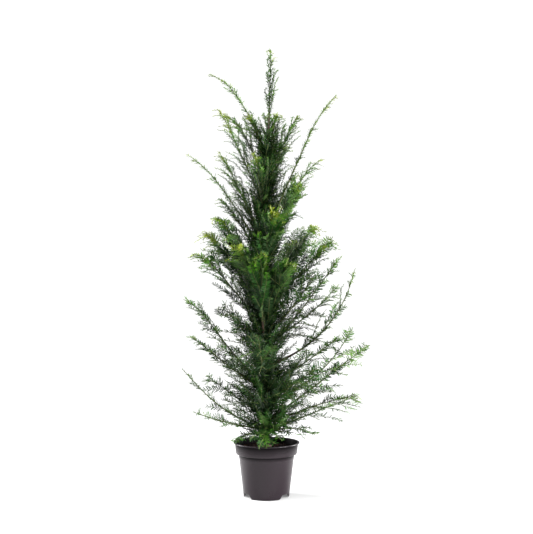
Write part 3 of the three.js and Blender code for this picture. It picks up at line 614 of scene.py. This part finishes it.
# %% Table of shoots
# name, habit, bearing (0 right, 90 back, 180 left, 270 front), foot, reach, top, sweep, bough share, nod
SHOOTS = [
    ("leader", "leader", 0, 1248, 14, 1481, 0, 0, 0),
    ("top_left", "crest", 205, 1120, 58, 1256, 0.02, 0, 0),
    ("top_right", "crest", 330, 1115, 40, 1262, 0.02, 0, 6),
    ("top_back", "crest", 85, 1095, 60, 1278, 0.02, 0, 5),
    ("upper_left", "whip", 176, 1150, 193, 1405, -0.06, 0, 28),
    ("left_crest", "crest", 190, 955, 158, 1278, 0, 0, 6),
    ("left_crest_inner", "crest", 172, 1030, 142, 1269, -0.06, 0, 24),
    ("left_shoulder", "crest", 168, 850, 160, 1141, 0, 0, 6),
    ("left_whip", "whip", 183, 800, 250, 1125, -0.06, 0, 15),
    ("left_upper", "crest", 172, 770, 160, 990, -0.03, 0, 12),
    ("left_dome_high", "dome", 192, 705, 165, 926, 0.02, 0, 10),
    ("left_dome_mid", "dome", 164, 640, 214, 876, 0.02, 0, 12),
    ("left_dome_low", "dome", 195, 556, 244, 803, -0.02, 0, 25),
    ("left_arm", "arm", 178, 362, 277, 653, 0.08, 0.2, 36),
    ("left_skirt_high", "arm", 190, 350, 246, 529, 0.06, 0, 6),
    ("left_skirt_mid", "skirt", 165, 264, 206, 392, 0.02, 0, 0),
    ("left_low_whip", "low_whip", 184, 222, 280, 425, 0.18, 0, 8),
    ("left_low_twig", "low_whip", 199, 222, 250, 290, 0.06, 0, 0),
    ("right_crest", "crest", 10, 1052, 103, 1261, 0, 0, 4),
    ("right_whip", "whip", 354, 860, 232, 1329, 0, 0.2, 28),
    ("right_shoulder", "crest", 14, 800, 180, 1117, 0, 0, 26),
    ("right_dome_high", "dome", 20, 672, 177, 897, 0.02, 0, 10),
    ("right_dome_mid", "dome", 347, 612, 224, 848, 0.02, 0, 10),
    ("right_dome_low", "arm", 4, 478, 252, 798, 0.06, 0, 10),
    ("right_fork", "fork", 16, 505, 256, 702, 0.1, 0, 0),
    ("right_sweep", "sweep", 356, 430, 293, 755, 0.28, 0.25, 0),
    ("right_arm", "skirt", 340, 312, 294, 562, 0.2, 0, 0),
    ("heart_right", "heart", 338, 520, 172, 738, 0.06, 0, 0),
    ("right_low_long", "skirt", 3, 248, 343, 499, 0.02, 0.2, 6),
    ("right_low_mid", "skirt", 348, 228, 298, 340, -0.09, 0, 0),
    ("right_low_end", "low_whip", 16, 214, 324, 320, 0, 0, 6),
    ("right_droop", "droop", 330, 208, 182, 219, -0.2, 0, 0),
    ("front_crest", "crest", 252, 930, 112, 1120, 0.02, 0, 0),
    ("front_upper", "dome", 316, 800, 146, 1025, 0.02, 0, 6),
    ("front_high", "dome", 280, 740, 140, 942, 0.02, 0, 6),
    ("front_dome_left", "dome", 240, 640, 178, 828, 0.03, 0, 8),
    ("front_dome_right", "dome", 292, 545, 185, 778, 0.03, 0, 8),
    ("front_middle", "dome", 264, 500, 165, 800, 0.1, 0.3, 8),
    ("left_inner", "skirt", 198, 470, 152, 640, 0.02, 0, 0),
    ("front_low_middle", "skirt", 262, 385, 188, 545, 0.04, 0, 0),
    ("front_low_right", "skirt", 314, 320, 225, 440, 0.04, 0, 0),
    ("front_foot", "foot", 266, 222, 118, 214, -0.25, 0, 0),
    ("right_arm_inner", "arm", 336, 372, 258, 542, 0.08, 0, 0),
    ("foot_left", "low_whip", 205, 212, 114, 192, -0.15, 0, 0),
    ("back_crest", "crest", 45, 965, 94, 1172, -0.04, 0, 0),
    ("back_upper_left", "crest", 132, 830, 170, 1062, 0.02, 0, 8),
    ("back_upper_right", "crest", 54, 800, 172, 1080, 0.02, 0, 8),
    ("back_dome_left", "dome", 128, 600, 212, 870, 0.03, 0, 10),
    ("back_dome_right", "dome", 64, 580, 222, 852, 0.03, 0, 10),
    ("back_middle", "dome", 96, 465, 230, 690, 0.06, 0, 8),
    ("back_low_left", "skirt", 132, 335, 232, 490, 0.04, 0, 0),
    ("back_low_right", "skirt", 54, 315, 242, 470, 0.04, 0, 0),
]
HABIT_FIELDS = [
    "twigs", "spread", "end", "inner", "angle", "lift", "upper", "twiglets", "twiglet",
    "needle", "lean", "spacing", "fresh", "bare", "fan", "fan_length",
]
HABITS = {
    "leader": (16, 120, 0.35, 1.3, 17, 0.1, 0.0, 0, 0, 13, 48, 1.7, 0.9, 0.0, 3, 40),
    "whip": (12, 62, 0.5, 1.1, 20, 0.05, -0.1, 0, 0, 15, 52, 1.7, 0.8, 0.05, 1, 22),
    "crest": (20, 190, 0.4, 1.0, 20, 0.12, 0.15, 0, 0, 13, 46, 1.8, 1.2, 0.0, 2, 26),
    "dome": (25, 215, 0.5, 0.95, 23, 0.12, 0.3, 0.4, 46, 20, 56, 2.0, 1.45, 0.0, 3, 42),
    "heart": (20, 165, 0.6, 1.0, 32, 0.0, 0.0, 1, 55, 19, 52, 2.1, 0.15, 0.0, 2, 30),
    "arm": (16, 105, 0.45, 1.1, 22, 0.02, -0.1, 0.8, 32, 19, 58, 2.2, 0.6, 0.0, 2, 34),
    "fork": (20, 125, 0.3, 1.25, 26, -0.2, -0.6, 1, 36, 18, 58, 2.3, 0.6, 0.0, 1, 26),
    "sweep": (16, 130, 0.25, 1.7, 24, 0.1, 0.6, 1, 36, 17, 58, 2.2, 0.6, 0.0, 1, 22),
    "skirt": (13, 165, 0.5, 1.1, 26, -0.1, -0.1, 0.9, 55, 24, 62, 3.3, 0.18, 0.0, 1, 46),
    "low_whip": (9, 62, 0.5, 1.1, 26, 0.0, -0.1, 0, 0, 20, 62, 2.7, 0.5, 0.1, 1, 24),
    "droop": (12, 85, 0.5, 1.0, 36, -0.08, 0.0, 1.5, 38, 22, 62, 2.9, 0.4, 0.0, 2, 30),
    "foot": (14, 105, 0.5, 1.0, 40, -0.08, 0.0, 2, 42, 23, 62, 2.8, 0.5, 0.0, 3, 42),
}
habit = dict(zip(HABIT_FIELDS, np.array([HABITS[row[1]] for row in SHOOTS], float).T))
for field in ("spread", "twiglet", "needle", "spacing", "fan_length"):
    habit[field] *= MM
habit["fresh"] *= 0.6 + 0.8 * draw.random(len(SHOOTS))
bearing, root, far, top, sweep, limb, nod = np.array([row[2:] for row in SHOOTS], float).T
bearing, root, far, top, nod = np.radians(bearing), root * MM, far * MM, top * MM, nod * MM
print(len(SHOOTS), "shoots,", int(habit["twigs"].sum()), "side twigs planned")

# %% [markdown]
# ## Stems as curves
# A stem is a curve set by its foot, a bend that draws it aside, and its tip. Holding thousands of
# stems as arrays lets one formula place every twig and needle at once. Blender's own curves would
# do for a few. A slight nod is added over the last part, since a yew's soft tips hang outwards.

# %% Curved stems
NOD_FROM, NOD_OVER = 0.7, 0.3
HANG_OUT, HANG_DOWN = 0.75, 0.65
NEEDLE_ROOM = 14 * MM
LOWEST = 188 * MM


def into(share, start, over):
    """How far a share is into a stretch that begins at a start: 0 before it and 1 after it."""
    return np.clip((share - start) / over, 0, 1)


class Stems:
    """Many stems as arrays. Place = (1-s)^2 foot + 2s(1-s) bend + s^2 tip + nod times the square of
    the way into the nodding part."""

    def __init__(self, *parts):
        self.parts = np.array(parts)
        self.foot, self.bend, self.tip, self.nod = self.parts

    def place(self, which, share):
        """The point at a share of the way along each chosen stem."""
        s = share[..., None]
        curve = (1 - s) ** 2 * self.foot[which] + 2 * s * (1 - s) * self.bend[which]
        curve = curve + s * s * self.tip[which]
        return curve + self.nod[which] * into(s, NOD_FROM, NOD_OVER) ** 2

    def along(self, which, share):
        """The direction there, which is the place's slope made a unit."""
        s = share[..., None]
        slope = (1 - s) * (self.bend[which] - self.foot[which]) + s * (self.tip[which] - self.bend[which])
        return unit(2 * slope + self.nod[which] * 2 * into(s, NOD_FROM, NOD_OVER) / NOD_OVER)

    def middle_way(self):
        """The direction halfway along each stem."""
        return self.along(np.arange(len(self.foot)), np.full(len(self.foot), 0.5))

    def length(self):
        """The mean of the chord and the two legs over the bend, close to the curve's own length."""
        legs = np.linalg.norm(self.bend - self.foot, axis=1) + np.linalg.norm(self.tip - self.bend, axis=1)
        return (legs + np.linalg.norm(self.tip - self.foot, axis=1)) / 2


room_low = np.array([solid_low[0] + NEEDLE_ROOM, solid_low[1] + NEEDLE_ROOM, LOWEST])
room_high = np.array([solid_high[0] - NEEDLE_ROOM, solid_high[1] - NEEDLE_ROOM, solid_high[2]])


def kept_in(points):
    """Points moved back into the solids' box, above the pot's lip, with room for needles at the sides."""
    return np.clip(points, room_low, room_high)


outward = np.stack([np.cos(bearing), np.sin(bearing), 0 * bearing], axis=1)
shoot_foot = trunk_axis(root)
hang = (HANG_OUT * outward - HANG_DOWN * UP) * nod[:, None]
shoot_tip = outward * far[:, None] + UP * top[:, None] - hang
chord = shoot_tip - shoot_foot
level_run = np.hypot(chord[:, 0], chord[:, 1])
bow = outward * (sweep * chord[:, 2])[:, None] - UP * (sweep * level_run)[:, None]
shoots = Stems(shoot_foot, shoot_foot + chord / 2 + bow, shoot_tip, hang)
print("shoots are", shoots.length().min().round(3), "to", shoots.length().max().round(3), "long")

# %% How twigs leave a stem
GOLDEN = math.radians(137.5)
BEYOND = 12 * MM
DRAWN_BACK = 0.9
UNEVEN = 0.8
READINGS = 9
readings = shoots.place(np.arange(len(SHOOTS))[:, None], np.linspace(0, 1, READINGS))
shoot_ceiling = readings[..., 2].max(axis=1)


def within_reach(points, shoot, slack):
    """Points drawn back to their own shoot's height and reach, some lower by a slack, so no top is flat."""
    too_high = np.maximum(points[:, 2] - shoot_ceiling[shoot] - BEYOND + slack, 0)
    run = np.sum(points * outward[shoot], axis=1)
    too_far = np.maximum(run - far[shoot] - BEYOND, 0)
    return points - DRAWN_BACK * UP * too_high[:, None] - DRAWN_BACK * outward[shoot] * too_far[:, None]


def ring_way(along, over, turn):
    """The direction at a turn round a stem: level cos turn + over sin turn."""
    return np.cross(along, over) * np.cos(turn)[:, None] + over * np.sin(turn)[:, None]


def offshoots(parents, owner, shoot, share, length, angle, roll, lift, facing, nod):
    """Twigs that leave their parents at an angle: way = along cos angle + ring way sin angle.
    The bend is half a length out, and the tip is lifted by a share of the length."""
    foot = parents.place(owner, share)
    along = parents.along(owner, share)
    around = ring_way(along, across(facing[owner], along), roll)
    way = along * np.cos(angle)[:, None] + around * np.sin(angle)[:, None]
    bend = foot + way * (length / 2)[:, None]
    slack = UNEVEN * length * draw.random(len(length))
    tip = within_reach(foot + way * length[:, None] + UP * (lift * length)[:, None], shoot, slack)
    return Stems(foot, kept_in(bend), kept_in(tip), nod)


def joined(*groups):
    """Several sets of stems as one."""
    return Stems(*np.concatenate([one.parts for one in groups], axis=1))


def counted(counts):
    """For counts such as 2, 3: the owners 0 0 1 1 1 and the places 0 1 0 1 2."""
    counts = counts.astype(int)
    owner = np.repeat(np.arange(len(counts)), counts)
    return owner, np.arange(len(owner)) - np.repeat(np.cumsum(counts) - counts, counts)


def about(middle, spread, count):
    """Random numbers from middle - spread / 2 to middle + spread / 2."""
    return middle - spread / 2 + spread * draw.random(count)


def upper_side(stems, lean):
    """The side of each stem that its spray turns up: up for a spreading stem, outwards for an upright."""
    along = stems.middle_way()
    middle = (stems.foot + stems.tip) / 2
    out = unit(middle * np.array([1.0, 1.0, 0.0]))
    steep = np.abs(along[:, 2:]) ** 2
    wanted = UP * (1 - steep) + out * steep + lean * draw.normal(size=along.shape)
    return across(wanted, along)


shoot_face = upper_side(shoots, 0.0)
print("highest tip", round(float(shoot_ceiling.max()), 3))

# %% Side twigs on the shoots
FIRST_TWIG, PAST_BOUGH, LAST_TWIG = 0.06, 0.03, 0.95
TWIG_JITTER = 0.8
WEAK_TWIGS = 1.3
WEAKEST, VIGOUR_GAIN = 0.3, 0.85
SHOOT_LEFT, FAN_LEFT = 0.66, 0.7
WEAK_ANGLE, VIGOUR_ANGLE = 1.5, 0.7
FRONT_LIFT, FRONT_FROM, LIFTED = 0.3, 0.2, 0.05
FIRST_ROLL = math.radians(80)
FRESH_NOD, NOD_DOWN = 12 * MM, 0.5
owner, k = counted(habit["twigs"])
first = np.maximum(limb + PAST_BOUGH, FIRST_TWIG)[owner]
step = (k + TWIG_JITTER * draw.random(len(k))) / habit["twigs"][owner]
share = first + (LAST_TWIG - first) * step ** habit["inner"][owner]
vigour = draw.random(len(k)) ** WEAK_TWIGS
length = habit["spread"][owner] * (1 - (1 - habit["end"][owner]) * share)
length = length * (WEAKEST + VIGOUR_GAIN * vigour)
left_over = SHOOT_LEFT * (1.0 - share) * shoots.length()[owner] + FAN_LEFT * habit["fan_length"][owner]
length = np.minimum(length, left_over)
angle = np.radians(habit["angle"][owner]) * (WEAK_ANGLE - VIGOUR_ANGLE * vigour)
lift = habit["lift"][owner] * (0.5 + draw.random(len(k)))
in_front = np.maximum(-outward[owner, 1] - FRONT_FROM, 0)
lift = lift + FRONT_LIFT * in_front * (habit["lift"][owner] > LIFTED)
roll = FIRST_ROLL + GOLDEN * k
stem_way = shoots.along(owner, share)
twig_out = ring_way(stem_way, across(shoot_face[owner], stem_way), roll)
upward = np.sum(twig_out * across(UP + 0 * stem_way, stem_way), axis=1)
length = length * (1 + habit["upper"][owner] * upward)
nod = (outward[owner] - NOD_DOWN * UP) * (FRESH_NOD * habit["fresh"][owner])[:, None]
side_twigs = offshoots(shoots, owner, owner, share, length, angle, roll, lift, shoot_face, nod)
side_shoot, side_share = owner, share
print(len(owner), "side twigs,", round(float(side_twigs.length().sum()), 1), "m of them")

# %% Short twigs on the trunk itself
TRUNK_TWIGS = 430
TRUNK_TWIG_FOOT, TRUNK_TWIG_RISE, CROWDED_LOW = 0.2, 0.93, 1.1
LOW_TWIG, SHORTER_ABOVE = 140 * MM, 65 * MM
CLIMB_ABOVE, CLIMB_CHANCE = 52, 28
COMPASS_CHANCE = 0.4
TIP_LIFT = 0.1
k = np.arange(TRUNK_TWIGS)
up_trunk = (k + draw.random(TRUNK_TWIGS)) / TRUNK_TWIGS
height = TRUNK_TWIG_FOOT + TRUNK_TWIG_RISE * up_trunk ** CROWDED_LOW
length = (LOW_TWIG - SHORTER_ABOVE * up_trunk) * about(1.0, 0.5, TRUNK_TWIGS)
climb = np.radians(CLIMB_ABOVE * np.sqrt(up_trunk) + CLIMB_CHANCE * draw.random(TRUNK_TWIGS))
compass = GOLDEN * k + COMPASS_CHANCE * draw.random(TRUNK_TWIGS)
way = ring_points(np.cos(climb), np.sin(climb), compass)
foot = trunk_axis(height)
bend = kept_in(foot + way * (length / 2)[:, None])
tip = kept_in(foot + (way + TIP_LIFT * UP) * length[:, None])
trunk_twigs = Stems(foot, bend, tip, 0 * foot)
heart = [row[1] for row in SHOOTS].index("heart")
twigs = joined(side_twigs, trunk_twigs)
twig_shoot = np.concatenate([side_shoot, np.full(TRUNK_TWIGS, heart)])
twig_share = np.concatenate([side_share, np.zeros(TRUNK_TWIGS)])
on_trunk = np.arange(len(twig_shoot)) >= len(side_shoot)
SPRAY_TILT = 0.25
twig_face = upper_side(twigs, SPRAY_TILT)
print(TRUNK_TWIGS, "twigs on the trunk,", round(float(trunk_twigs.length().sum()), 1), "m of them")

# %% Twiglets in two ranks, and fans at the tips
FIRST_TWIGLET, TWIGLET_STRETCH, TWIGLET_JITTER = 0.14, 0.8, 0.6
NEAR_LENGTH, TIPWARD_LOSS = 1.2, 0.6
FULL_TWIG = 70 * MM
TWIGLET_ANGLE, TWIGLET_SPREAD = 42, 10
TWIGLET_ROLL = 0.35
owner, k = counted(np.round(habit["twiglets"][twig_shoot] * about(1.0, 0.6, len(twig_shoot))))
count = np.bincount(owner)[owner]
share = FIRST_TWIGLET + TWIGLET_STRETCH * (k + TWIGLET_JITTER * draw.random(len(k))) / count
length = habit["twiglet"][twig_shoot[owner]] * (NEAR_LENGTH - TIPWARD_LOSS * share)
length = length * about(1.0, 0.6, len(k))
length = length * np.minimum(1, twigs.length()[owner] / FULL_TWIG)
angle = np.radians(TWIGLET_ANGLE + TWIGLET_SPREAD * draw.normal(size=len(k)))
roll = math.pi * (k % 2) + TWIGLET_ROLL * draw.normal(size=len(k))
lift = 0.5 * habit["lift"][twig_shoot[owner]]
still = np.zeros((len(k), 3))
twiglets = offshoots(twigs, owner, twig_shoot[owner], share, length, angle, roll, lift, twig_face, still)
free = on_trunk[owner]
twiglets.tip[free] = twiglets.bend[free] * 2 - twiglets.foot[free]
twiglet_shoot, twiglet_share = twig_shoot[owner], 0.5 * twig_share[owner] + 0.5 * share

FAN_FROM, FAN_STRETCH = 0.74, 0.26
FAN_ANGLE, FAN_SPREAD, FAN_ROLL = 12, 22, 2
FAN_NOD, FAN_DOWN = 0.22, 0.6
FAN_LIFT, FAN_LIFT_GAIN = 0.1, 2.5
owner, k = counted(habit["fan"])
share = FAN_FROM + FAN_STRETCH * (k + draw.random(len(k))) / habit["fan"][owner]
length = habit["fan_length"][owner] * about(1.0, 0.6, len(k))
angle = np.radians(FAN_ANGLE + FAN_SPREAD * draw.random(len(k)))
roll = GOLDEN * k + FAN_ROLL * draw.random(len(k))
nod = (outward[owner] - FAN_DOWN * UP) * (FAN_NOD * length)[:, None]
lift = FAN_LIFT + FAN_LIFT_GAIN * habit["lift"][owner]
fans = offshoots(shoots, owner, owner, share, length, angle, roll, lift, shoot_face, nod)
fan_shoot = owner
print(len(twiglet_shoot), "twiglets and", len(fan_shoot), "tip twigs")

# %% [markdown]
# ## Boughs, stems and twigs as tubes
# A stem's mesh is a ring of points carried along its curve. All stems of one kind have the same
# number of rings and sides, so one array holds them all: stems by rings by sides. The thick boughs
# have the trunk's furrows in their radius. Boughs are brown, twigs olive, and the finest twigs green.

# %% Tubes
def tubes(name, stems, face, start, finish, thick, thin, rings, sides, material, nodes=(), rough=1.0):
    """Rings round each curve: place + radius (level cos a + over sin a). The radius falls evenly from
    thick to thin, times a roughness."""
    which = np.arange(len(stems.foot))[:, None]
    share = np.linspace(start, finish, rings, axis=-1)
    middle = stems.place(which, share)
    along = stems.along(which, share)
    over = across(face[:, None], along)
    level = np.cross(along, over)
    angle = np.linspace(0, 2 * math.pi, sides, endpoint=False)
    radius = np.linspace(thick, thin, rings, axis=-1)[..., None]
    around = level[:, :, None] * np.cos(angle)[:, None] + over[:, :, None] * np.sin(angle)[:, None]
    points = middle[:, :, None] + around * (radius * rough + 0 * angle)[..., None]
    ringed(name, points, material, nodes)


BOUGH_SHARE, BOUGH_TIP = 0.62, 3.1 * MM
BOUGH_RINGS, BOUGH_SIDES = 60, 20
BOUGH_BARK_WAY = 0.12
thick_ones = np.flatnonzero(limb > 0)
apart = np.arange(len(thick_ones))[:, None, None]
bark_turn = np.linspace(0, 1, BOUGH_SIDES, endpoint=False)
bark_way = np.linspace(0, BOUGH_BARK_WAY, BOUGH_RINGS)[:, None] + apart
bough_rough = furrows(bark_turn, bark_way, BOUGH_BARK_SEED)
tubes(
    "boughs", Stems(*shoots.parts[:, thick_ones]), shoot_face[thick_ones],
    0, limb[thick_ones], BOUGH_SHARE * trunk_radius(root[thick_ones]), BOUGH_TIP,
    BOUGH_RINGS, BOUGH_SIDES, OLD_BARK, ["bough_" + SHOOTS[i][0] for i in thick_ones], bough_rough,
)

# %% Stems, twigs and twiglets
STEM_FOOT, STEM_TIP = 3.38 * MM, 0.8 * MM
STEM_OF_TRUNK = 0.6
STEM_RINGS, STEM_SIDES = 22, 7
foot_radius = np.where(limb > 0, BOUGH_TIP, np.minimum(STEM_FOOT, STEM_OF_TRUNK * trunk_radius(root)))
tubes("shoot_stems", shoots, shoot_face, limb, 1, foot_radius, STEM_TIP, STEM_RINGS, STEM_SIDES, TWIG_BARK)
tubes("twigs", twigs, twig_face, 0, 1, 1.1 * MM, 0.5 * MM, 6, 4, TWIG_BARK)
small = joined(twiglets, fans)
small_face = upper_side(small, SPRAY_TILT)
tubes("twiglets", small, small_face, 0, 1, 0.75 * MM, 0.45 * MM, 4, 3, GREEN_BARK)

# %% [markdown]
# ## Needles
# A yew's needle is a flat, soft blade about two centimetres long, dark green above and paler below.
# On spreading twigs the needles lie in two ranks like a comb, and on slim upright shoots they stand
# all round. Each is four triangles folded along its midrib. Colour belongs to the spray and to its
# place: the fresh yellow green of new tips and the darker green of old needles are real, and on top
# of that the needles are painted in shade inside the plant and painted lighter on the outside, high
# up and low down, where light falls; at the front they are dealt a little darker. So needles are
# dealt into a few pieces, one for each shade, as lit and shaded copies of one green, and no picture
# or grid of colours is needed.

# %% Where the needles stand
BARE_FOOT, TWIG_BARE_FOOT = 0.1, 0.06
FEWEST_NEEDLES = 3
everything = joined(shoots, twigs, small)
face = np.concatenate([shoot_face, twig_face, small_face])
shoot_of = np.concatenate([np.arange(len(SHOOTS)), twig_shoot, twiglet_shoot, fan_shoot])
along_shoot = np.concatenate([0.5 + 0 * bearing, twig_share, twiglet_share, np.ones(len(fan_shoot))])
shoot_bare = np.maximum(habit["bare"], limb) + BARE_FOOT
leafy_from = np.concatenate([shoot_bare, np.full(len(face) - len(SHOOTS), TWIG_BARE_FOOT)])
spray_luck = draw.random(len(face))
long = everything.length()
stem, k = counted(np.maximum(FEWEST_NEEDLES, long * (1 - leafy_from) / habit["spacing"][shoot_of]))
count = np.bincount(stem)[stem]
share = leafy_from[stem] + (1 - leafy_from[stem]) * (k + 0.5 * draw.random(len(k))) / count
print(len(k), "needles on", round(float(long.sum()), 1), "m of stem")

# %% Which way each needle points
UPRIGHT, SLIM_LEAN = 0.5, 55
RANK_RISE, RANK_SPREAD = 0.2, 0.24
CLOSING_ANGLE, LEAN_SPREAD = 16, 7
TWIST_SPREAD = 0.3
needle_shoot = shoot_of[stem]
place = everything.place(stem, share)
along = everything.along(stem, share)
over = across(face[stem], along)
steep = np.abs(everything.middle_way()[:, 2])
all_round = ((steep > UPRIGHT) & (habit["lean"][shoot_of] < SLIM_LEAN))[stem]
side = k % 2
rank = math.pi * side + (1 - 2 * side) * (RANK_RISE + RANK_SPREAD * draw.normal(size=len(k)))
aside = ring_way(along, over, np.where(all_round, GOLDEN * k, rank))
lean = habit["lean"][needle_shoot] - CLOSING_ANGLE * into(share, start=0.8, over=0.2)
lean = np.radians(lean + LEAN_SPREAD * draw.normal(size=len(k)))
way = along * np.cos(lean)[:, None] + aside * np.sin(lean)[:, None]
flat = across(np.where(all_round[:, None], along, over), way)
twist = TWIST_SPREAD * draw.normal(size=len(k))[:, None]
up_face = flat * np.cos(twist) + np.cross(flat, way) * np.sin(twist)
width_way = np.cross(up_face, way)
print(round(float(all_round.mean()), 2), "of the needles stand all round")

# %% Needle blades
SHORTEST_SHARE, LENGTH_CHANCE = 0.78, 0.35
TIP_LOSS, FOOT_SIZE, FAN_SIZE = 0.5, 0.7, 0.72
HALF_WIDTH, USUAL_LENGTH = 1.5 * MM, 18 * MM
# along the blade, across it, and its fold and droop: round from the foot, up one edge and back
BLADE_ALONG = np.array([0, 0.16, 0.74, 1, 0.74, 0.16])
BLADE_ACROSS = np.array([0.25, 1, 0.92, 0, -0.92, -1])
BLADE_FOLD = np.array([0.05, -0.3, -0.3, 0.0, -0.3, -0.3])
BLADE_DROOP = np.array([0, 0, -0.03, -0.1, -0.03, 0])
BLADE_FACES = np.array([[0, 3, 2, 1], [0, 5, 4, 3]])
size = habit["needle"][needle_shoot] * (SHORTEST_SHARE + LENGTH_CHANCE * draw.random(len(k)))
size = size * (1 - TIP_LOSS * into(share, start=0.6, over=0.4))
size = size * (FOOT_SIZE + (1 - FOOT_SIZE) * into(share, start=0, over=0.25))
size = np.where(stem >= len(face) - len(fan_shoot), FAN_SIZE, 1.0) * size
half_width = HALF_WIDTH * np.sqrt(size / USUAL_LENGTH) * about(1.0, 0.3, len(k))
rise = BLADE_FOLD * half_width[:, None] + BLADE_DROOP * size[:, None]
blades = (
    place[:, None]
    + way[:, None] * (BLADE_ALONG * size[:, None])[..., None]
    + width_way[:, None] * (BLADE_ACROSS * half_width[:, None])[..., None]
    + up_face[:, None] * rise[..., None]
)
print("needles", round(float(size.min()), 4), "to", round(float(size.max()), 4), "long")

# %% Shades dealt by spray, with painted light and shade by place
# the shades run from painted deep shade inside the plant to the lit fresh tips
# name, two near colours of the upper side, and the underside
SHADES = [
    ("needles_deep_shade", (9, 30, 7), (19, 47, 12), (31, 56, 22)),
    ("needles_old_shaded", (22, 58, 11), (36, 78, 18), (60, 92, 38)),
    ("needles_mid", (46, 94, 10), (68, 118, 18), (86, 122, 44)),
    ("needles_young_lit", (78, 110, 14), (98, 126, 24), (102, 124, 44)),
    ("needles_fresh_lit", (120, 140, 18), (146, 160, 32), (134, 148, 48)),
]
# how far out the plant's leafy edge is at a few heights
EDGE_HEIGHTS = [0.2, 0.55, 0.8, 0.92, 1.1, 1.28, 1.48]
EDGE_REACHES = [0.29, 0.28, 0.25, 0.19, 0.16, 0.11, 0.03]
INSIDE = 0.17
NO_LIMIT = 9
SHOOT_TIP_GAIN, TWIG_TIP_GAIN, OLD_WOOD_LOSS = 2.2, 1.2, 0.3
SPRAY_CHANCE, NEEDLE_CHANCE = 1.5, 0.6
x, y, z = place.T
edge_share = np.hypot(x, y) / np.interp(z, EDGE_HEIGHTS, EDGE_REACHES)
# a measure of the needle's place, where it begins to count, the span over which it grows by 1,
# its most, and its gain
LIGHT_TERMS = [
    (edge_share, 0, 1, 1.1, 1.42),
    (z, 0.6, 1, NO_LIMIT, 0.5),
    (z, 1.0, 1, NO_LIMIT, 1.4),
    (-z, -0.5, 0.3, 1, 0.6),
    (-y, 0.06, 0.15, 1, -0.4),
]
# painted light and shade: the score is higher on the outside, high up and low down, lower inside and at the
# front, and picks each needle's shade
light = np.full(len(k), INSIDE)
for measure, start, span, most, gain in LIGHT_TERMS:
    light = light + gain * np.clip((measure - start) / span, 0, most)
# the tips of shoots and twigs add the real fresh green of new growth
tips = SHOOT_TIP_GAIN * along_shoot[stem] ** 4 + TWIG_TIP_GAIN * share ** 4 - OLD_WOOD_LOSS
light = light + habit["fresh"][needle_shoot] * tips
light = light + SPRAY_CHANCE * (spray_luck[stem] - 0.5) + NEEDLE_CHANCE * (draw.random(len(k)) - 0.5)
dealt = np.clip(np.floor(light), 0, len(SHADES) - 1).astype(int)
foliage_nodes = ["foliage_" + row[0] for row in SHOOTS]
for shade, (name, *colours) in enumerate(SHADES):
    mine = blades[dealt == shade]
    faces = BLADE_FACES + len(BLADE_ALONG) * np.arange(len(mine))[:, None, None]
    material = needle_material(name, *[paint(*colour) for colour in colours])
    piece(name, mine, [faces], material, foliage_nodes, smooth=False)

# %% [markdown]
# ## Stage, light and camera
# The yew was photographed on white: soft light from all round, a large softbox on the left and a
# weaker one on the right, which draw the pale stripes on the pot's sides. The camera is level, at
# about half the plant's height, with a long lens, so the trunk stays straight.

# %% Floor and world
FLOOR_HALF = 1.5
FLOOR_GREY = (0.47, 0.47, 0.47, 1)
FLOOR_GLOW = 0.19
FLOOR_ROUGHNESS = 0.9
WHITE = (1, 1, 1, 1)
SKY_STRENGTH, BACKDROP_STRENGTH = 0.37, 1.1
scene = bpy.context.scene
scene.view_settings.view_transform = "Standard"
floor_points = np.array([[-1, -1, 0], [1, -1, 0], [1, 1, 0], [-1, 1, 0]], float) * FLOOR_HALF
floor_mesh = bpy.data.meshes.new("studio_floor")
floor_mesh.from_pydata(floor_points.tolist(), [], [(0, 1, 2, 3)])
floor_material, floor_tree, floor_shader = new_material("white_floor")
feed(floor_tree, floor_shader, {"Base Color": FLOOR_GREY, "Roughness": FLOOR_ROUGHNESS})
feed(floor_tree, floor_shader, {"Emission Color": WHITE, "Emission Strength": FLOOR_GLOW})
floor_mesh.materials.append(floor_material)
studio_floor = bpy.data.objects.new("studio_floor", floor_mesh)
scene.collection.objects.link(studio_floor)
world = bpy.data.worlds.new("white_studio")
world.use_nodes = True
air = world.node_tree
sky = air.nodes["Background"]
feed(air, sky, {"Color": WHITE, "Strength": SKY_STRENGTH})
backdrop = add_node(air, "ShaderNodeBackground", {"Color": WHITE, "Strength": BACKDROP_STRENGTH})
seen_directly = air.nodes.new("ShaderNodeLightPath").outputs["Is Camera Ray"]
either = add_node(air, "ShaderNodeMixShader", {0: seen_directly, 1: sky.outputs[0], 2: backdrop.outputs[0]})
feed(air, air.nodes["World Output"], {"Surface": either.outputs[0]})
scene.world = world
print("floor and world are white")

# %% Lights and camera
# name, place, target, width, height, watts
SOFTBOXES = [
    ("top_softbox", (-1.0, -1.2, 6.0), (0, 0, 0.5), 3.6, 3.6, 585),
    ("left_softbox", (-2.8, 1.0, 1.2), (0, 0, 0.6), 1.4, 2.4, 330),
    ("right_softbox", (2.8, 1.2, 1.1), (0, 0, 0.6), 1.2, 2.2, 215),
    ("low_softbox", (1.9, -1.3, 0.5), (0, 0, 0.25), 1.5, 0.6, 100),
]
CAMERA_PLACE = (0.0, -3.46, 0.761)
LENS_MM, SENSOR_MM = 70.2, 36.0
for name, place, target, wide, high, watts in SOFTBOXES:
    lamp = bpy.data.lights.new(name, "AREA")
    lamp.shape = "RECTANGLE"
    lamp.size, lamp.size_y, lamp.energy = wide, high, watts
    made = bpy.data.objects.new(name, lamp)
    made.location = place
    made.rotation_euler = (Vector(target) - Vector(place)).to_track_quat("-Z", "Y").to_euler()
    scene.collection.objects.link(made)
    made.visible_camera = False
camera = bpy.data.cameras.new("photo_camera")
camera.lens, camera.sensor_width = LENS_MM, SENSOR_MM
camera_object = bpy.data.objects.new("photo_camera", camera)
camera_object.location = CAMERA_PLACE
camera_object.rotation_euler = (math.pi / 2, 0.0, 0.0)
scene.collection.objects.link(camera_object)
scene.camera = camera_object
print("camera stands", camera_object.location[:])
